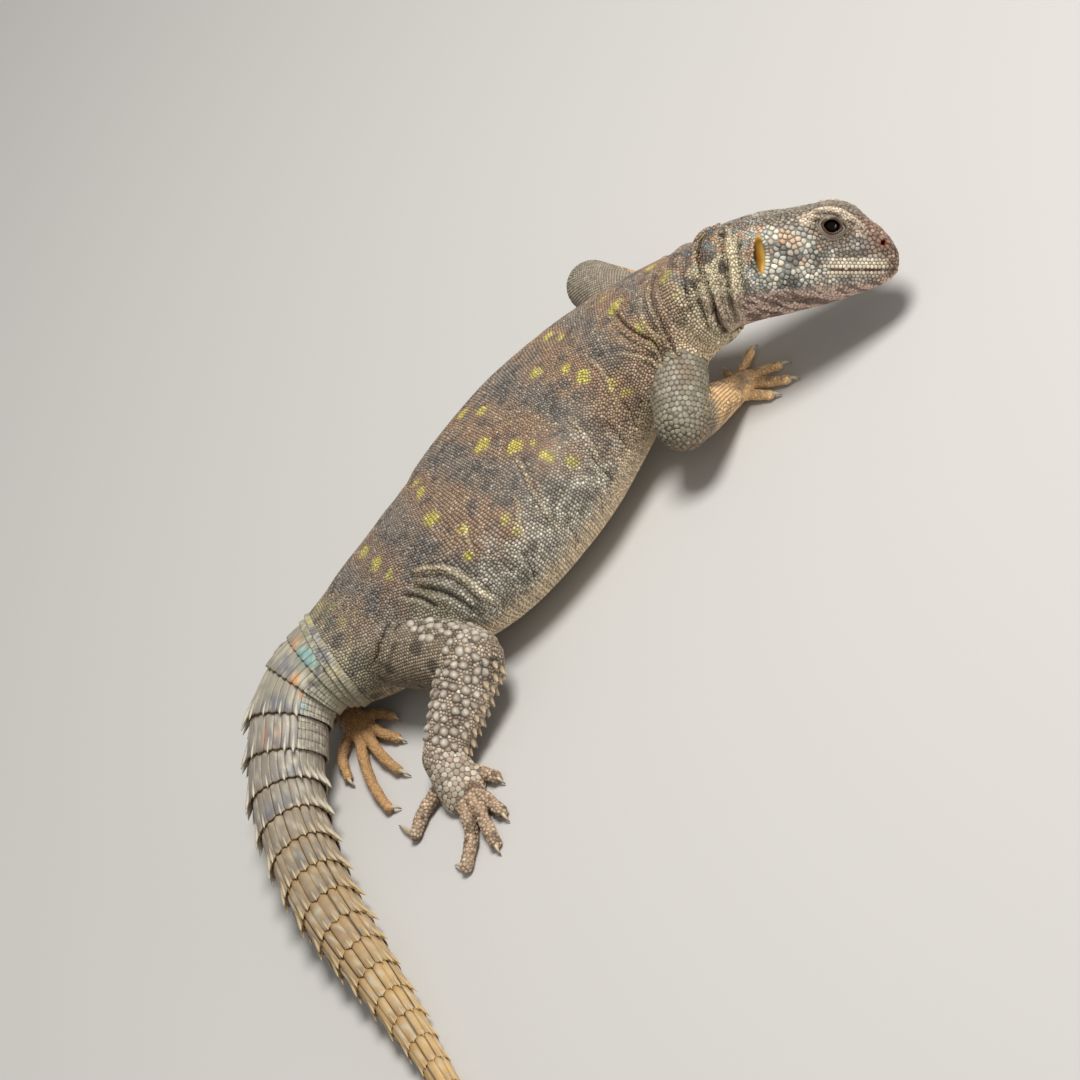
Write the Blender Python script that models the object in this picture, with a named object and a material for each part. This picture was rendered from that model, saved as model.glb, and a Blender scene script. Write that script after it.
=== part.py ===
"""Ornate spiny-tailed lizard (uromastyx) lying on the floor, life size.

Sizes and places below are millimetres in the body frame: X towards the head, Y to the animal's left,
Z up, with the floor at zero. FRAME_SHIFT moves that frame so that the origin lies under the middle of
the whole animal, and MM turns millimetres into metres.
"""

import math

import bmesh
import bpy
import numpy as np

MM = 0.001
GAP = 0.3
FRAME_SHIFT = np.array([-2.0, 47.0, 0.0])
FLOOR = 0.0

# Body path: the middle of the trunk and tail from the back of the skull to the tail tip.
# Each row is x, y, z, half width, height above the middle, depth below it, roll in degrees.
BODY = np.array([
    (76.4, -18.5, 28.7, 12.0, 12.4, 13.4, 38.0),
    (70.8, -13.6, 28.2, 12.6, 11.4, 13.8, 28.0),
    (65.0, -9.0, 27.0, 14.6, 11.3, 14.4, 19.0),
    (57.5, -4.6, 25.4, 17.4, 12.1, 15.6, 12.0),
    (48.0, -0.8, 23.6, 20.0, 13.2, 17.0, 7.0),
    (36.0, 2.6, 21.4, 23.0, 14.8, 18.6, 3.0),
    (22.0, 3.4, 19.3, 26.4, 16.6, 19.3, 0.0),
    (5.0, 1.0, 18.2, 28.0, 17.8, 19.0, 0.0),
    (-12.0, -0.6, 17.4, 26.6, 17.6, 18.0, 0.0),
    (-25.0, 2.2, 16.4, 23.4, 16.4, 16.6, 0.0),
    (-36.0, 4.6, 15.8, 19.8, 14.8, 15.6, 0.0),
    (-46.0, 5.2, 15.9, 17.8, 13.2, 14.6, 0.0),
    (-54.0, 6.0, 16.8, 15.2, 11.6, 12.6, 0.0),
    (-61.0, 6.8, 17.6, 12.6, 10.0, 10.2, 0.0),
    (-68.0, 6.4, 17.3, 11.0, 9.3, 9.2, 0.0),
    (-74.6, 3.2, 15.8, 10.4, 8.8, 8.4, 0.0),
    (-80.2, -2.2, 13.8, 9.9, 8.3, 8.0, 0.0),
    (-85.4, -8.0, 11.6, 9.3, 7.9, 7.8, 0.0),
    (-89.3, -15.6, 9.8, 8.8, 7.4, 7.8, 0.0),
    (-92.2, -24.5, 8.6, 8.3, 7.0, 7.8, 0.0),
    (-94.2, -34.6, 7.8, 7.9, 6.6, 7.5, 0.0),
    (-95.6, -45.5, 7.1, 7.4, 6.1, 6.9, 0.0),
    (-96.3, -57.6, 6.4, 6.7, 5.5, 6.3, 0.0),
    (-96.5, -69.6, 5.7, 5.9, 4.9, 5.6, 0.0),
    (-96.8, -81.6, 4.9, 4.9, 4.2, 4.8, 0.0),
    (-97.2, -93.6, 4.1, 4.1, 3.5, 4.0, 0.0),
    (-97.8, -105.6, 3.3, 3.3, 2.9, 3.3, 0.0),
    (-98.6, -117.4, 2.6, 2.6, 2.3, 2.6, 0.0),
    (-99.5, -128.4, 1.9, 1.8, 1.7, 1.9, 0.0),
    (-100.5, -138.0, 1.2, 0.9, 0.9, 1.2, 0.0),
])
NECK_START, NECK_END, TAIL_START = 0.55, 2.35, 12.6
BODY_SIDES = 24
NECK_RINGS, TRUNK_RINGS = 11, 17
BODY_SQUARENESS = 2.25

# Folds of loose skin round the neck and shoulder: row of BODY, depth and half width of each.
# A negative depth is a ridge.
FOLDS = ((0.75, 0.9, 1.0), (1.15, -0.45, 1.1), (1.6, 0.5, 0.9), (3.3, 0.45, 1.6), (3.9, -0.3, 1.6))

# Tail whorls: each is a ring of scales that flares to its rear edge and steps down to the next.
WHORL_PITCH = (9.0, 10.2, 6.4)
WHORL_FRONT, WHORL_REAR = 0.95, 1.06
TAIL_NODES = 5
TAIL_SIDES = 14

# Spines of a whorl: how many at the tail's root and at its tip, how far down each side in degrees,
# where they start and end along the whorl as shares of its pitch, how far their tips rise above its
# rear edge and how far more on the sides, how deep their roots sink, and their width as a share of
# the space between two.
SPINE_COUNT = (9, 5)
SPINE_ARC = 116.0
SPINE_START, SPINE_END = 0.42, 1.32
SPINE_RISE, SPINE_SIDE_RISE = 0.9, 1.0
SPINE_SINK = 0.9
SPINE_HALF_WIDTH = 0.46
SPINE_HEIGHT = 1.7
SPINE_TIP = 0.14
# The whorls beside the legs carry spines only this far round from the top, in degrees.
SPINE_LEG_ARC, SPINE_FOOT_ARC, SPINE_FOOT_END = 50.0, 66.0, -40.0

# Head, in its own frame: x forward from the ear, y to the left, z up. HEAD_ORIGIN is the point
# between the ears, and the three axes are unit vectors of the body frame.
HEAD_ORIGIN = np.array([82.9, -20.9, 28.0])
HEAD_PITCH, HEAD_YAW, HEAD_ROLL = 30.8, 39.0, 38.4
HEAD_BACK = -7.0
# Sections: x, crown height, brow half width and height, cheek half width and height,
# jaw half width and height, throat height.
HEAD = np.array([
    (-7.5, 9.4, 8.2, 6.9, 11.8, -2.4, 8.6, -12.0, -17.0),
    (0.0, 11.9, 9.0, 8.8, 13.0, -1.4, 9.4, -10.4, -14.2),
    (7.0, 12.7, 8.8, 10.4, 13.0, -1.2, 9.2, -9.2, -12.4),
    (13.0, 13.8, 8.6, 11.8, 11.6, 0.0, 8.4, -7.8, -10.8),
    (18.0, 14.7, 8.2, 12.6, 10.0, 0.8, 7.6, -6.6, -9.4),
    (22.0, 13.9, 7.2, 11.6, 8.6, 1.0, 6.6, -5.6, -7.9),
    (26.0, 10.6, 5.6, 8.8, 7.2, 1.0, 5.5, -4.6, -6.4),
    (29.5, 8.0, 4.3, 6.4, 5.9, 0.9, 4.5, -3.6, -5.0),
    (31.6, 5.4, 3.2, 4.4, 4.4, 0.7, 3.3, -2.5, -3.5),
    (32.8, 3.2, 1.9, 2.6, 2.7, 0.4, 1.9, -1.5, -2.1),
])
SNOUT_TIP = 33.2
HEAD_STEPS = 16
HEAD_SIDES = 26

# Eye, ear, nostril and mouth, in the head's frame, for the left side.
EYE = np.array([17.6, 6.9, 9.5])
EYE_RADIUS = 2.9
EYE_FACING = (0.10, 1.0, 0.10)
EYE_OPENING = (2.35, 1.65)
LID_THICKNESS = 0.75
EAR = np.array([1.4, 12.2, 3.2])
EAR_HALF_HEIGHT, EAR_HALF_WIDTH, EAR_DEPTH = 4.4, 1.3, 2.6
NOSTRIL = np.array([30.6, 3.6, 5.2])
NOSTRIL_RADIUS = 0.75
MOUTH_CORNER, MOUTH_FRONT = 17.5, 32.4
MOUTH_HEIGHT, MOUTH_DEPTH, MOUTH_WIDTH = -0.9, 0.9, 0.6
# The ridge over the eye, from behind it down to the side of the snout: x, y, z and radius.
BROW = (
    (11.8, 8.2, 11.3, 0.9), (14.8, 9.0, 12.6, 1.3), (18.4, 8.9, 12.8, 1.4), (21.8, 7.5, 11.1, 1.25),
    (24.8, 6.0, 8.8, 0.8),
)

# Legs: shoulder or hip, elbow or knee, and wrist or ankle, each as x, y, z and radius.
RIGHT_ARM = ((57.0, -12.0, 23.0, 7.6), (43.0, -28.4, 16.2, 6.7), (55.8, -19.6, 6.2, 4.5))
LEFT_ARM = ((58.0, 8.0, 22.0, 7.4), (55.7, 37.4, 18.4, 7.0), (66.0, 33.0, 5.8, 3.9))
RIGHT_LEG = ((-43.0, -6.0, 16.0, 10.2), (-31.4, -30.0, 13.6, 7.9), (-52.7, -38.8, 6.4, 5.3))
LEFT_LEG = ((-46.0, 12.0, 13.0, 8.0), (-66.0, 30.0, 8.2, 6.6), (-64.5, 5.0, 3.3, 3.2))
LIMB_SIDES = 12
LIMB_SWELL = 1.04
JOINT_GAP = GAP + 0.08

# Spiny tubercles of the hind legs: the side that they face, turns about the segment's line in degrees,
# and places along it as shares of its length, for the thigh and then the shank.
RIGHT_TUBERCLES = (
    ((-0.2, -0.3, 1.0), (-40.0, 0.0, 40.0), (0.36, 0.50, 0.64)),
    ((0.5, -0.6, 0.7), (-48.0, -16.0, 16.0, 48.0), (0.34, 0.50, 0.66)),
)
LEFT_TUBERCLES = (
    ((0.2, 0.6, 0.8), (-20.0, 20.0), (0.40, 0.56)),
    ((-0.9, 0.1, 0.5), (-30.0, 10.0, 50.0), (0.30, 0.50)),
)
TUBERCLE_HALF_WIDTH, TUBERCLE_RIDGE, TUBERCLE_HEIGHT, TUBERCLE_LEAN = 1.05, 1.9, 1.15, 1.3
TUBERCLE_STAGGER = 0.07

# Toes: base, bends and tip as x, y of the toe's middle, then the claw's tip. The first is the inner.
RIGHT_HAND = (
    ((60.5, -13.5), (61.5, -7.0), (62.0, -3.6)),
    ((63.0, -12.5), (69.0, -8.0), (71.6, -6.8)),
    ((63.8, -15.8), (70.4, -20.0), (73.2, -21.6)),
    ((62.6, -18.6), (69.0, -26.4), (71.2, -28.6)),
    ((59.8, -20.2), (63.6, -25.8), (65.4, -27.8)),
)
LEFT_HAND = (
    ((70.0, 28.0), (73.6, 22.6), (74.8, 19.8)),
    ((72.0, 29.4), (78.6, 25.8), (81.4, 24.6)),
    ((73.0, 31.4), (82.0, 31.8), (85.0, 32.0)),
    ((72.2, 34.0), (80.2, 38.0), (82.8, 39.6)),
    ((70.0, 35.6), (74.0, 41.8), (75.0, 44.4)),
)
RIGHT_FOOT = (
    ((-50.6, -43.4), (-46.8, -52.2), (-46.4, -55.0)),
    ((-52.4, -50.4), (-51.1, -62.7), (-51.4, -65.8)),
    ((-54.4, -52.4), (-55.6, -61.8), (-56.8, -68.8), (-57.8, -71.8)),
    ((-56.8, -51.6), (-59.6, -60.8), (-65.6, -67.4), (-67.6, -62.6)),
    ((-59.6, -41.4), (-65.0, -42.4), (-70.2, -45.6), (-72.0, -37.0)),
)
LEFT_FOOT = (
    ((-61.4, 0.8), (-58.6, -2.0), (-56.4, -6.0), (-55.6, -8.6)),
    ((-62.4, -2.2), (-60.6, -9.5), (-58.8, -13.8), (-57.8, -16.4)),
    ((-64.0, -4.4), (-64.4, -16.5), (-63.6, -23.2), (-62.3, -27.0)),
    ((-65.8, -3.6), (-69.1, -13.2), (-71.1, -26.3), (-71.2, -31.0), (-69.0, -33.2)),
    ((-66.8, 0.4), (-72.0, -3.2), (-74.4, -10.6), (-74.6, -13.8)),
)
HAND_TOE_RADIUS, RIGHT_FOOT_TOE_RADIUS, LEFT_FOOT_TOE_RADIUS = 1.35, 1.65, 1.4
TOE_ROOT_HEIGHT = 2.6
TOE_SIDES, CLAW_SIDES = 6, 4
PALM_HALF_HEIGHT = 2.3
PALM_MARGIN = 0.9
CLAW_RADIUS, CLAW_TIP_RADIUS, CLAW_TIP_HEIGHT, CLAW_ARCH = 0.75, 0.2, 0.55, 0.75

SKIN = (0.36, 0.31, 0.26)
HEAD_SKIN = (0.55, 0.50, 0.43)
TAIL_SKIN = (0.55, 0.49, 0.38)
LIMB_SKIN = (0.47, 0.42, 0.35)
HAND_SKIN = (0.58, 0.42, 0.26)
EYE_BLACK = (0.012, 0.010, 0.009)


def clear_scene():
    """Removes every object that the scene starts with."""
    for obj in list(bpy.data.objects):
        bpy.data.objects.remove(obj, do_unlink=True)


def smooth(knots, values, at):
    """Cubic Hermite curve through the rows of values, its slope at a knot the mean of its neighbours'."""
    slopes = np.gradient(values, knots, axis=0)
    index = np.clip(np.searchsorted(knots, at) - 1, 0, len(knots) - 2)
    span = knots[index + 1] - knots[index]
    t = ((at - knots[index]) / span)[:, None]
    start, end = values[index], values[index + 1]
    out, into = slopes[index] * span[:, None], slopes[index + 1] * span[:, None]
    return (
        (2 * t**3 - 3 * t**2 + 1) * start
        + (t**3 - 2 * t**2 + t) * out
        + (3 * t**2 - 2 * t**3) * end
        + (t**3 - t**2) * into
    )


def unit(vectors):
    return vectors / np.linalg.norm(vectors, axis=-1, keepdims=True)


def body_length(row):
    """Distance in mm along the body path from the skull to a row of BODY, which may be fractional."""
    steps = np.linalg.norm(np.diff(BODY[:, :3], axis=0), axis=1)
    return np.interp(row, np.arange(len(BODY)), np.concatenate([[0.0], np.cumsum(steps)]))


BODY_KNOTS = body_length(np.arange(len(BODY)))


def fold_depth(lengths):
    """How far the folds of FOLDS sink below the plain skin: a bell curve across each."""
    return sum(
        depth * np.exp(-((lengths - body_length(row)) / half) ** 2) for row, depth, half in FOLDS
    )


def body_axes(lengths):
    """Middle, left and up vectors of the body path at these lengths, and its three sizes."""
    row = smooth(BODY_KNOTS, BODY, lengths)
    ahead = smooth(BODY_KNOTS, BODY, lengths - 0.05)[:, :3]
    behind = smooth(BODY_KNOTS, BODY, lengths + 0.05)[:, :3]
    forward = unit(ahead - behind)
    left = unit(np.cross([0.0, 0.0, 1.0], forward))
    up = np.cross(forward, left)
    roll = np.radians(row[:, 6:7])
    left, up = left * np.cos(roll) - up * np.sin(roll), up * np.cos(roll) + left * np.sin(roll)
    return row[:, :3], left, up, row[:, 3:6] - fold_depth(lengths)[:, None]


def body_rings(lengths, angle, grow=0.0, scale=None):
    """Superellipse sections of the body, one row per length, at angles from the back round by the right.

    A point is middle - left * half_width * sin(a) + up * height * cos(a), both raised to
    2 / squareness, with the belly's depth in place of the height below the middle. Where angle is a
    count, that many points are spread round the section.
    """
    lengths = np.atleast_1d(np.asarray(lengths, float))
    scale = np.ones(len(lengths)) if scale is None else np.asarray(scale, float)
    middle, left, up, size = body_axes(lengths)
    size = size * scale[:, None] + grow
    if np.ndim(angle) == 0:
        angle = np.arange(angle) * 2 * math.pi / angle
    power = 2 / BODY_SQUARENESS
    across = -np.sign(np.sin(angle)) * np.abs(np.sin(angle)) ** power
    high = np.sign(np.cos(angle)) * np.abs(np.cos(angle)) ** power
    height = np.where(high > 0, size[:, 1:2], size[:, 2:3]) * high
    points = (
        middle[:, None]
        + left[:, None] * (size[:, 0:1] * across)[..., None]
        + up[:, None] * height[..., None]
    )
    if grow == 0:
        points[..., 2] = np.maximum(points[..., 2], FLOOR)
    return points


def head_axes():
    """Forward, left and up unit vectors of the head, from its yaw to the right, pitch down and roll."""
    yaw, pitch, roll = np.radians([HEAD_YAW, HEAD_PITCH, HEAD_ROLL])
    forward = np.array([
        math.cos(pitch) * math.cos(yaw), -math.cos(pitch) * math.sin(yaw), -math.sin(pitch)
    ])
    level_left = unit(np.cross([0.0, 0.0, 1.0], forward))
    level_up = np.cross(forward, level_left)
    left = level_left * math.cos(roll) - level_up * math.sin(roll)
    up = level_up * math.cos(roll) + level_left * math.sin(roll)
    return forward, left, up


def head_to_body(points):
    """Points of the head's frame, moved to the body frame."""
    return HEAD_ORIGIN + np.asarray(points, float) @ np.array(head_axes())


def head_rings(stations, sides, grow=0.0):
    """Sections of the head: a closed smooth curve through crown, brow, cheek, jaw and throat."""
    row = smooth(HEAD[:, 0], HEAD, np.atleast_1d(np.asarray(stations, float)))
    zero = np.zeros(len(row))
    half = [(zero, row[:, 1]), (row[:, 2], row[:, 3]), (row[:, 4], row[:, 5]), (row[:, 6], row[:, 7])]
    throat = [(zero, row[:, 8])]
    right = [(-y, z) for y, z in half[1:]]
    corners = half[:1] + right + throat + half[:0:-1]
    corners = np.array(corners).transpose(2, 0, 1)
    wrapped = np.concatenate([corners[:, -2:], corners, corners[:, :3]], axis=1)
    knots = np.arange(-2.0, len(corners[0]) + 3)
    at = np.arange(sides) * len(corners[0]) / sides
    rings = np.array([smooth(knots, one, at) for one in wrapped])
    if grow:
        middle = rings.mean(axis=1, keepdims=True)
        rings = middle + (rings - middle) * (1 + grow / np.linalg.norm(rings - middle, axis=2, keepdims=True))
    forward = np.broadcast_to(row[:, 0][:, None, None], (*rings.shape[:2], 1))
    return head_to_body(np.concatenate([forward, rings], axis=2))


def tube_rings(points, radii, sides, rings=6, pointed=False):
    """Round sections along a smooth path through the points, with rounded ends unless pointed."""
    points, radii = np.array(points, float), np.array(radii, float)
    knots = np.concatenate([[0.0], np.cumsum(np.linalg.norm(np.diff(points, axis=0), axis=1))])
    at = np.linspace(0.0, knots[-1], rings)
    path = smooth(knots, points, at)
    radius = np.maximum(smooth(knots, radii[:, None], at)[:, 0], 0.12)
    forward = unit(np.gradient(path, at, axis=0))
    left = unit(np.cross([0.0, 0.0, 1.0], forward))
    up = np.cross(forward, left)
    angle = np.arange(sides) * 2 * math.pi / sides
    circle = (
        left[:, None] * np.cos(angle)[None, :, None] + up[:, None] * np.sin(angle)[None, :, None]
    )
    body = path[:, None] + circle * radius[:, None, None]
    cap = np.radians([25.0, 60.0])

    def dome(end, sign):
        rows = [
            path[end] + sign * forward[end] * radius[end] * math.sin(a) * 0.9
            + circle[end] * radius[end] * math.cos(a)
            for a in cap
        ]
        return np.array(rows)

    parts = [dome(0, -1.0)[::-1], body]
    if not pointed:
        parts.append(dome(-1, 1.0))
    return np.concatenate(parts)


def loft(name, rings):
    """A closed mesh object through sections of equal count, in mm of the body frame."""
    mesh = bpy.data.meshes.new(name)
    shaped = bmesh.new()
    rings = (np.asarray(rings, float) + FRAME_SHIFT) * MM
    loops = [[shaped.verts.new(point) for point in ring] for ring in rings]
    for first, second in zip(loops, loops[1:]):
        for i in range(len(first)):
            j = (i + 1) % len(first)
            shaped.faces.new((first[i], first[j], second[j], second[i]))
    for end in (loops[0], loops[-1]):
        shaped.faces.new(end)
    bmesh.ops.triangulate(shaped, faces=shaped.faces[:])
    bmesh.ops.recalc_face_normals(shaped, faces=shaped.faces[:])
    shaped.to_mesh(mesh)
    shaped.free()
    obj = bpy.data.objects.new(name, mesh)
    bpy.context.scene.collection.objects.link(obj)
    return obj


def ball(name, middle, radius, rings=10, segments=16):
    """A sphere in mm of the body frame."""
    mesh = bpy.data.meshes.new(name)
    shaped = bmesh.new()
    bmesh.ops.create_uvsphere(shaped, u_segments=segments, v_segments=rings, radius=radius * MM)
    bmesh.ops.translate(shaped, verts=shaped.verts[:], vec=(np.asarray(middle) + FRAME_SHIFT) * MM)
    shaped.to_mesh(mesh)
    shaped.free()
    obj = bpy.data.objects.new(name, mesh)
    bpy.context.scene.collection.objects.link(obj)
    return obj


def keep_largest(mesh):
    """Leaves only the closed surface with the largest volume."""
    shaped = bmesh.new()
    shaped.from_mesh(mesh)
    bmesh.ops.remove_doubles(shaped, verts=shaped.verts[:], dist=1e-7)
    left_over = set(shaped.verts)
    shells = []
    while left_over:
        stack, shell = [left_over.pop()], []
        while stack:
            vert = stack.pop()
            shell.append(vert)
            for edge in vert.link_edges:
                other = edge.other_vert(vert)
                if other in left_over:
                    left_over.remove(other)
                    stack.append(other)
        shells.append(shell)

    def volume(shell):
        faces = {face for vert in shell for face in vert.link_faces}
        return sum(face.calc_area() * face.normal.dot(face.calc_center_median()) for face in faces)

    largest = max(shells, key=volume)
    for shell in shells:
        if shell is not largest:
            bmesh.ops.delete(shaped, geom=shell, context="VERTS")
    shaped.to_mesh(mesh)
    shaped.free()


def combine(target, operation, others, solver="EXACT"):
    """One Boolean of the target with a collection of closed meshes, applied; the others are removed."""
    group = bpy.data.collections.new("operands")
    bpy.context.scene.collection.children.link(group)
    for other in others:
        bpy.context.scene.collection.objects.unlink(other)
        group.objects.link(other)
    modifier = target.modifiers.new(operation.lower(), "BOOLEAN")
    modifier.operation = operation
    modifier.operand_type = "COLLECTION"
    modifier.collection = group
    modifier.solver = solver
    graph = bpy.context.evaluated_depsgraph_get()
    mesh = bpy.data.meshes.new_from_object(target.evaluated_get(graph))
    target.modifiers.remove(modifier)
    target.data = mesh
    for other in others:
        bpy.data.objects.remove(other, do_unlink=True)
    bpy.data.collections.remove(group)
    keep_largest(mesh)
    return target


def finish(obj, colour, roughness=0.6):
    """Gives a node its own material and smooth shading."""
    material = bpy.data.materials.new(obj.name)
    material.use_nodes = True
    shader = material.node_tree.nodes["Principled BSDF"]
    shader.inputs["Base Color"].default_value = (*colour, 1.0)
    shader.inputs["Roughness"].default_value = roughness
    shader.inputs["Metallic"].default_value = 0.0
    obj.data.materials.clear()
    obj.data.materials.append(material)
    obj.data.shade_smooth()
    obj.data.set_sharp_from_angle(angle=math.radians(40))
    obj.data.name = obj.name
    return obj


def mirrored(point, side):
    """A point of the head's left side, or its mirror image on the right."""
    return np.asarray(point, float) * [1.0, side, 1.0]


def head_cutters():
    """Ear cups, nostrils and the line of the mouth."""
    cutters = []
    for side in (1, -1):
        ear = [
            mirrored(EAR + [0.0, depth, 0.0], side) for depth in (-EAR_DEPTH, -0.6 * EAR_DEPTH, EAR_DEPTH)
        ]
        angle = np.arange(12) * 2 * math.pi / 12
        shrink = (0.55, 1.0, 1.15)
        rings = [
            middle + np.stack([
                EAR_HALF_WIDTH * size * np.cos(angle) - 0.10 * EAR_HALF_HEIGHT * np.sin(angle),
                0 * angle,
                EAR_HALF_HEIGHT * size * np.sin(angle),
            ], axis=1)
            for middle, size in zip(ear, shrink)
        ]
        cutters.append(loft("ear_cutter", head_to_body(rings)))
        inside = head_to_body(mirrored(NOSTRIL - [0.5, 1.4, 0.3], side))
        outside = head_to_body(mirrored(NOSTRIL + [0.6, 1.6, 0.4], side))
        radii = (0.7 * NOSTRIL_RADIUS, NOSTRIL_RADIUS)
        cutters.append(loft("nostril_cutter", tube_rings((inside, outside), radii, 8, rings=2)))
    cutters.append(mouth_cutter())
    return cutters


def mouth_outline(inset):
    """The head's outline at the mouth's height, from the right corner round the snout to the left."""
    x = MOUTH_CORNER + (MOUTH_FRONT - MOUTH_CORNER) * np.sin(np.linspace(0.0, math.pi / 2, 9))
    row = smooth(HEAD[:, 0], HEAD, x)
    half = row[:, 4] - 0.25 - inset
    half[-1] = 0.8 * half[-1]
    x = x + np.linspace(0.0, 1.0, len(x)) ** 3 * (0.75 - 0.6 * inset)
    height = MOUTH_HEIGHT + 0.5 * (1 - (x - MOUTH_CORNER) / (MOUTH_FRONT - MOUTH_CORNER))
    right = np.stack([x, -half, height], axis=1)
    return np.concatenate([right, right[::-1] * [1.0, -1.0, 1.0]])


def mouth_cutter():
    """A thin band that follows the lips, deepest at its middle."""
    inner, outer = mouth_outline(MOUTH_DEPTH), mouth_outline(-1.4)
    half = np.array([0.0, 0.0, MOUTH_WIDTH / 2])
    rings = np.stack([inner, outer - 1.6 * half, outer + 1.6 * half], axis=1)
    return loft("mouth_cutter", head_to_body(rings))


def eye_opening(side):
    """The almond between the lids: a short lens-shaped tube along the eye's outward direction."""
    outward = unit(np.array(EYE_FACING))
    along = unit(np.cross(outward, [0.0, 0.0, 1.0]))
    high = np.cross(along, outward)
    angle = np.arange(16) * 2 * math.pi / 16
    rings = []
    for depth, size in ((0.0, 0.75), (EYE_RADIUS, 1.0), (EYE_RADIUS + 2.5, 1.25)):
        ring = (
            EYE + outward * depth
            + along * (EYE_OPENING[0] * size * np.cos(angle))[:, None]
            + high * (EYE_OPENING[1] * size * np.sin(angle))[:, None]
        )
        rings.append(ring * [1.0, side, 1.0])
    return loft("opening_cutter", head_to_body(rings))


def brow_ridge(side):
    """The overhanging ridge above the eye, which runs from behind it down to the side of the snout."""
    points = [head_to_body(mirrored(point[:3], side)) for point in BROW]
    return loft("brow", tube_rings(points, [point[3] for point in BROW], 8, rings=7))


def make_head():
    stations = HEAD_BACK + (HEAD[-1, 0] - HEAD_BACK) * np.sin(np.linspace(0.0, math.pi / 2, HEAD_STEPS))
    head = loft("head", np.concatenate([
        head_rings(stations, HEAD_SIDES),
        head_to_body([[(SNOUT_TIP, 0.55 * y, 0.55 * z + 0.2) for y, z in snout_end()]]),
    ]))
    pieces = []
    for side in (1, -1):
        lids = ball("lids", head_to_body(mirrored(EYE, side)), EYE_RADIUS + GAP + LID_THICKNESS, 8, 14)
        pieces += [lids, brow_ridge(side)]
    combine(head, "UNION", pieces)
    cutters = head_cutters()
    for side in (1, -1):
        cutters.append(eye_opening(side))
        cutters.append(ball("socket", head_to_body(mirrored(EYE, side)), EYE_RADIUS + GAP, 8, 14))
    for cutter in cutters:
        combine(head, "DIFFERENCE", [cutter])
    finish(head, HEAD_SKIN)
    for side, name in ((1, "eye_left"), (-1, "eye_right")):
        finish(ball(name, head_to_body(mirrored(EYE, side)), EYE_RADIUS, 8, 14), EYE_BLACK, 0.08)


def snout_end():
    """The y and z of the last section of the head, in the head's frame."""
    ring = head_rings([HEAD[-1, 0]], HEAD_SIDES)[0] - HEAD_ORIGIN
    _, left, up = head_axes()
    return np.stack([ring @ left, ring @ up], axis=1)


def make_neck_and_torso():
    neck_end = body_length(NECK_END)
    lengths = np.linspace(body_length(NECK_START), neck_end - GAP / 2, NECK_RINGS)
    neck = loft("neck", np.concatenate([
        head_rings([HEAD_BACK - GAP], BODY_SIDES), body_rings(lengths, BODY_SIDES)
    ]))
    finish(neck, SKIN)
    lengths = np.linspace(neck_end + GAP / 2, body_length(TAIL_START) - GAP / 2, TRUNK_RINGS)
    finish(loft("torso", body_rings(lengths, BODY_SIDES)), SKIN)


def whorl_edges():
    """Lengths at which the tail's whorls begin, with the tip last. The pitch swells, then shrinks."""
    start, end = body_length(TAIL_START), BODY_KNOTS[-1]
    edges = [start]
    while edges[-1] < end - 0.6 * WHORL_PITCH[2]:
        part = (edges[-1] - start) / (end - start)
        pitch = np.interp(part, (0.0, 0.35, 1.0), WHORL_PITCH)
        edges.append(min(edges[-1] + pitch, end))
    edges[-1] = end
    return np.array(edges)


def tail_rings(edges, first, last, grow=0.0):
    """Rings of the whorls from edge first to edge last: each flares to its rear edge and steps down."""
    lengths, scale = [], []
    for start, end in zip(edges[first:last], edges[first + 1:last + 1]):
        pitch = end - start
        lengths += [start + 0.04 * pitch, start + 0.5 * pitch, end - 0.08 * pitch]
        scale += [WHORL_FRONT, 1.0, WHORL_REAR]
    lengths[0] = edges[first] + GAP / 2
    lengths.append(edges[last] - GAP / 2)
    scale.append(WHORL_FRONT)
    return body_rings(lengths, TAIL_SIDES, grow, scale)


def spine(root, tip, left, half_width, height):
    """A keeled, three-sided spine that tapers straight from its root to a fine tip."""
    forward = unit(tip - root)
    side = unit(left - forward * (left @ forward))
    high = np.cross(forward, side)
    corners = np.array([side * half_width, high * height, -side * half_width]) - high * height / 3
    return loft("spine", [root + corners, tip + corners * SPINE_TIP])


def whorl_spines(start, end):
    """The spines of the whorl between two lengths, rooted in it and pointing back over the next."""
    pitch = end - start
    part = (start - body_length(TAIL_START)) / (BODY_KNOTS[-1] - body_length(TAIL_START))
    count = int(round(np.interp(part, (0.0, 1.0), SPINE_COUNT)))
    angle = np.radians(np.linspace(-SPINE_ARC, SPINE_ARC, count))
    middle, _, _, size = body_axes(np.array([end]))
    small = size[0, 0] / BODY[int(TAIL_START) + 2, 3]
    rise = small * (SPINE_RISE + SPINE_SIDE_RISE * np.sin(angle) ** 2)
    roots = body_rings([start + SPINE_START * pitch], angle, -SPINE_SINK * small)[0]
    edge = body_rings([start + SPINE_END * pitch], angle, 1e-6, [WHORL_REAR])[0]
    centre = body_axes(np.array([start + SPINE_END * pitch]))[0][0]
    tips = edge + unit(edge - centre) * rise[:, None]
    spacing = np.linalg.norm(roots[1] - roots[0])
    by_legs = start < body_length(TAIL_START) + 2 * pitch - 1e-6
    by_foot = middle[0, 1] > SPINE_FOOT_END
    spines = []
    for turn, root, tip, point in zip(np.degrees(angle), roots, tips, edge):
        if by_legs and abs(turn) > SPINE_LEG_ARC or by_foot and turn > SPINE_FOOT_ARC:
            continue
        tip[2] = max(tip[2], FLOOR + SPINE_HEIGHT * SPINE_TIP)
        root[2] = max(root[2], FLOOR + SPINE_HEIGHT / 2)
        outward = unit(point - centre)
        across = np.cross(tip - root, outward)
        height = SPINE_HEIGHT * (0.4 + 0.6 * small)
        spines.append(spine(root, tip, across, SPINE_HALF_WIDTH * spacing, height))
    return spines


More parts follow.
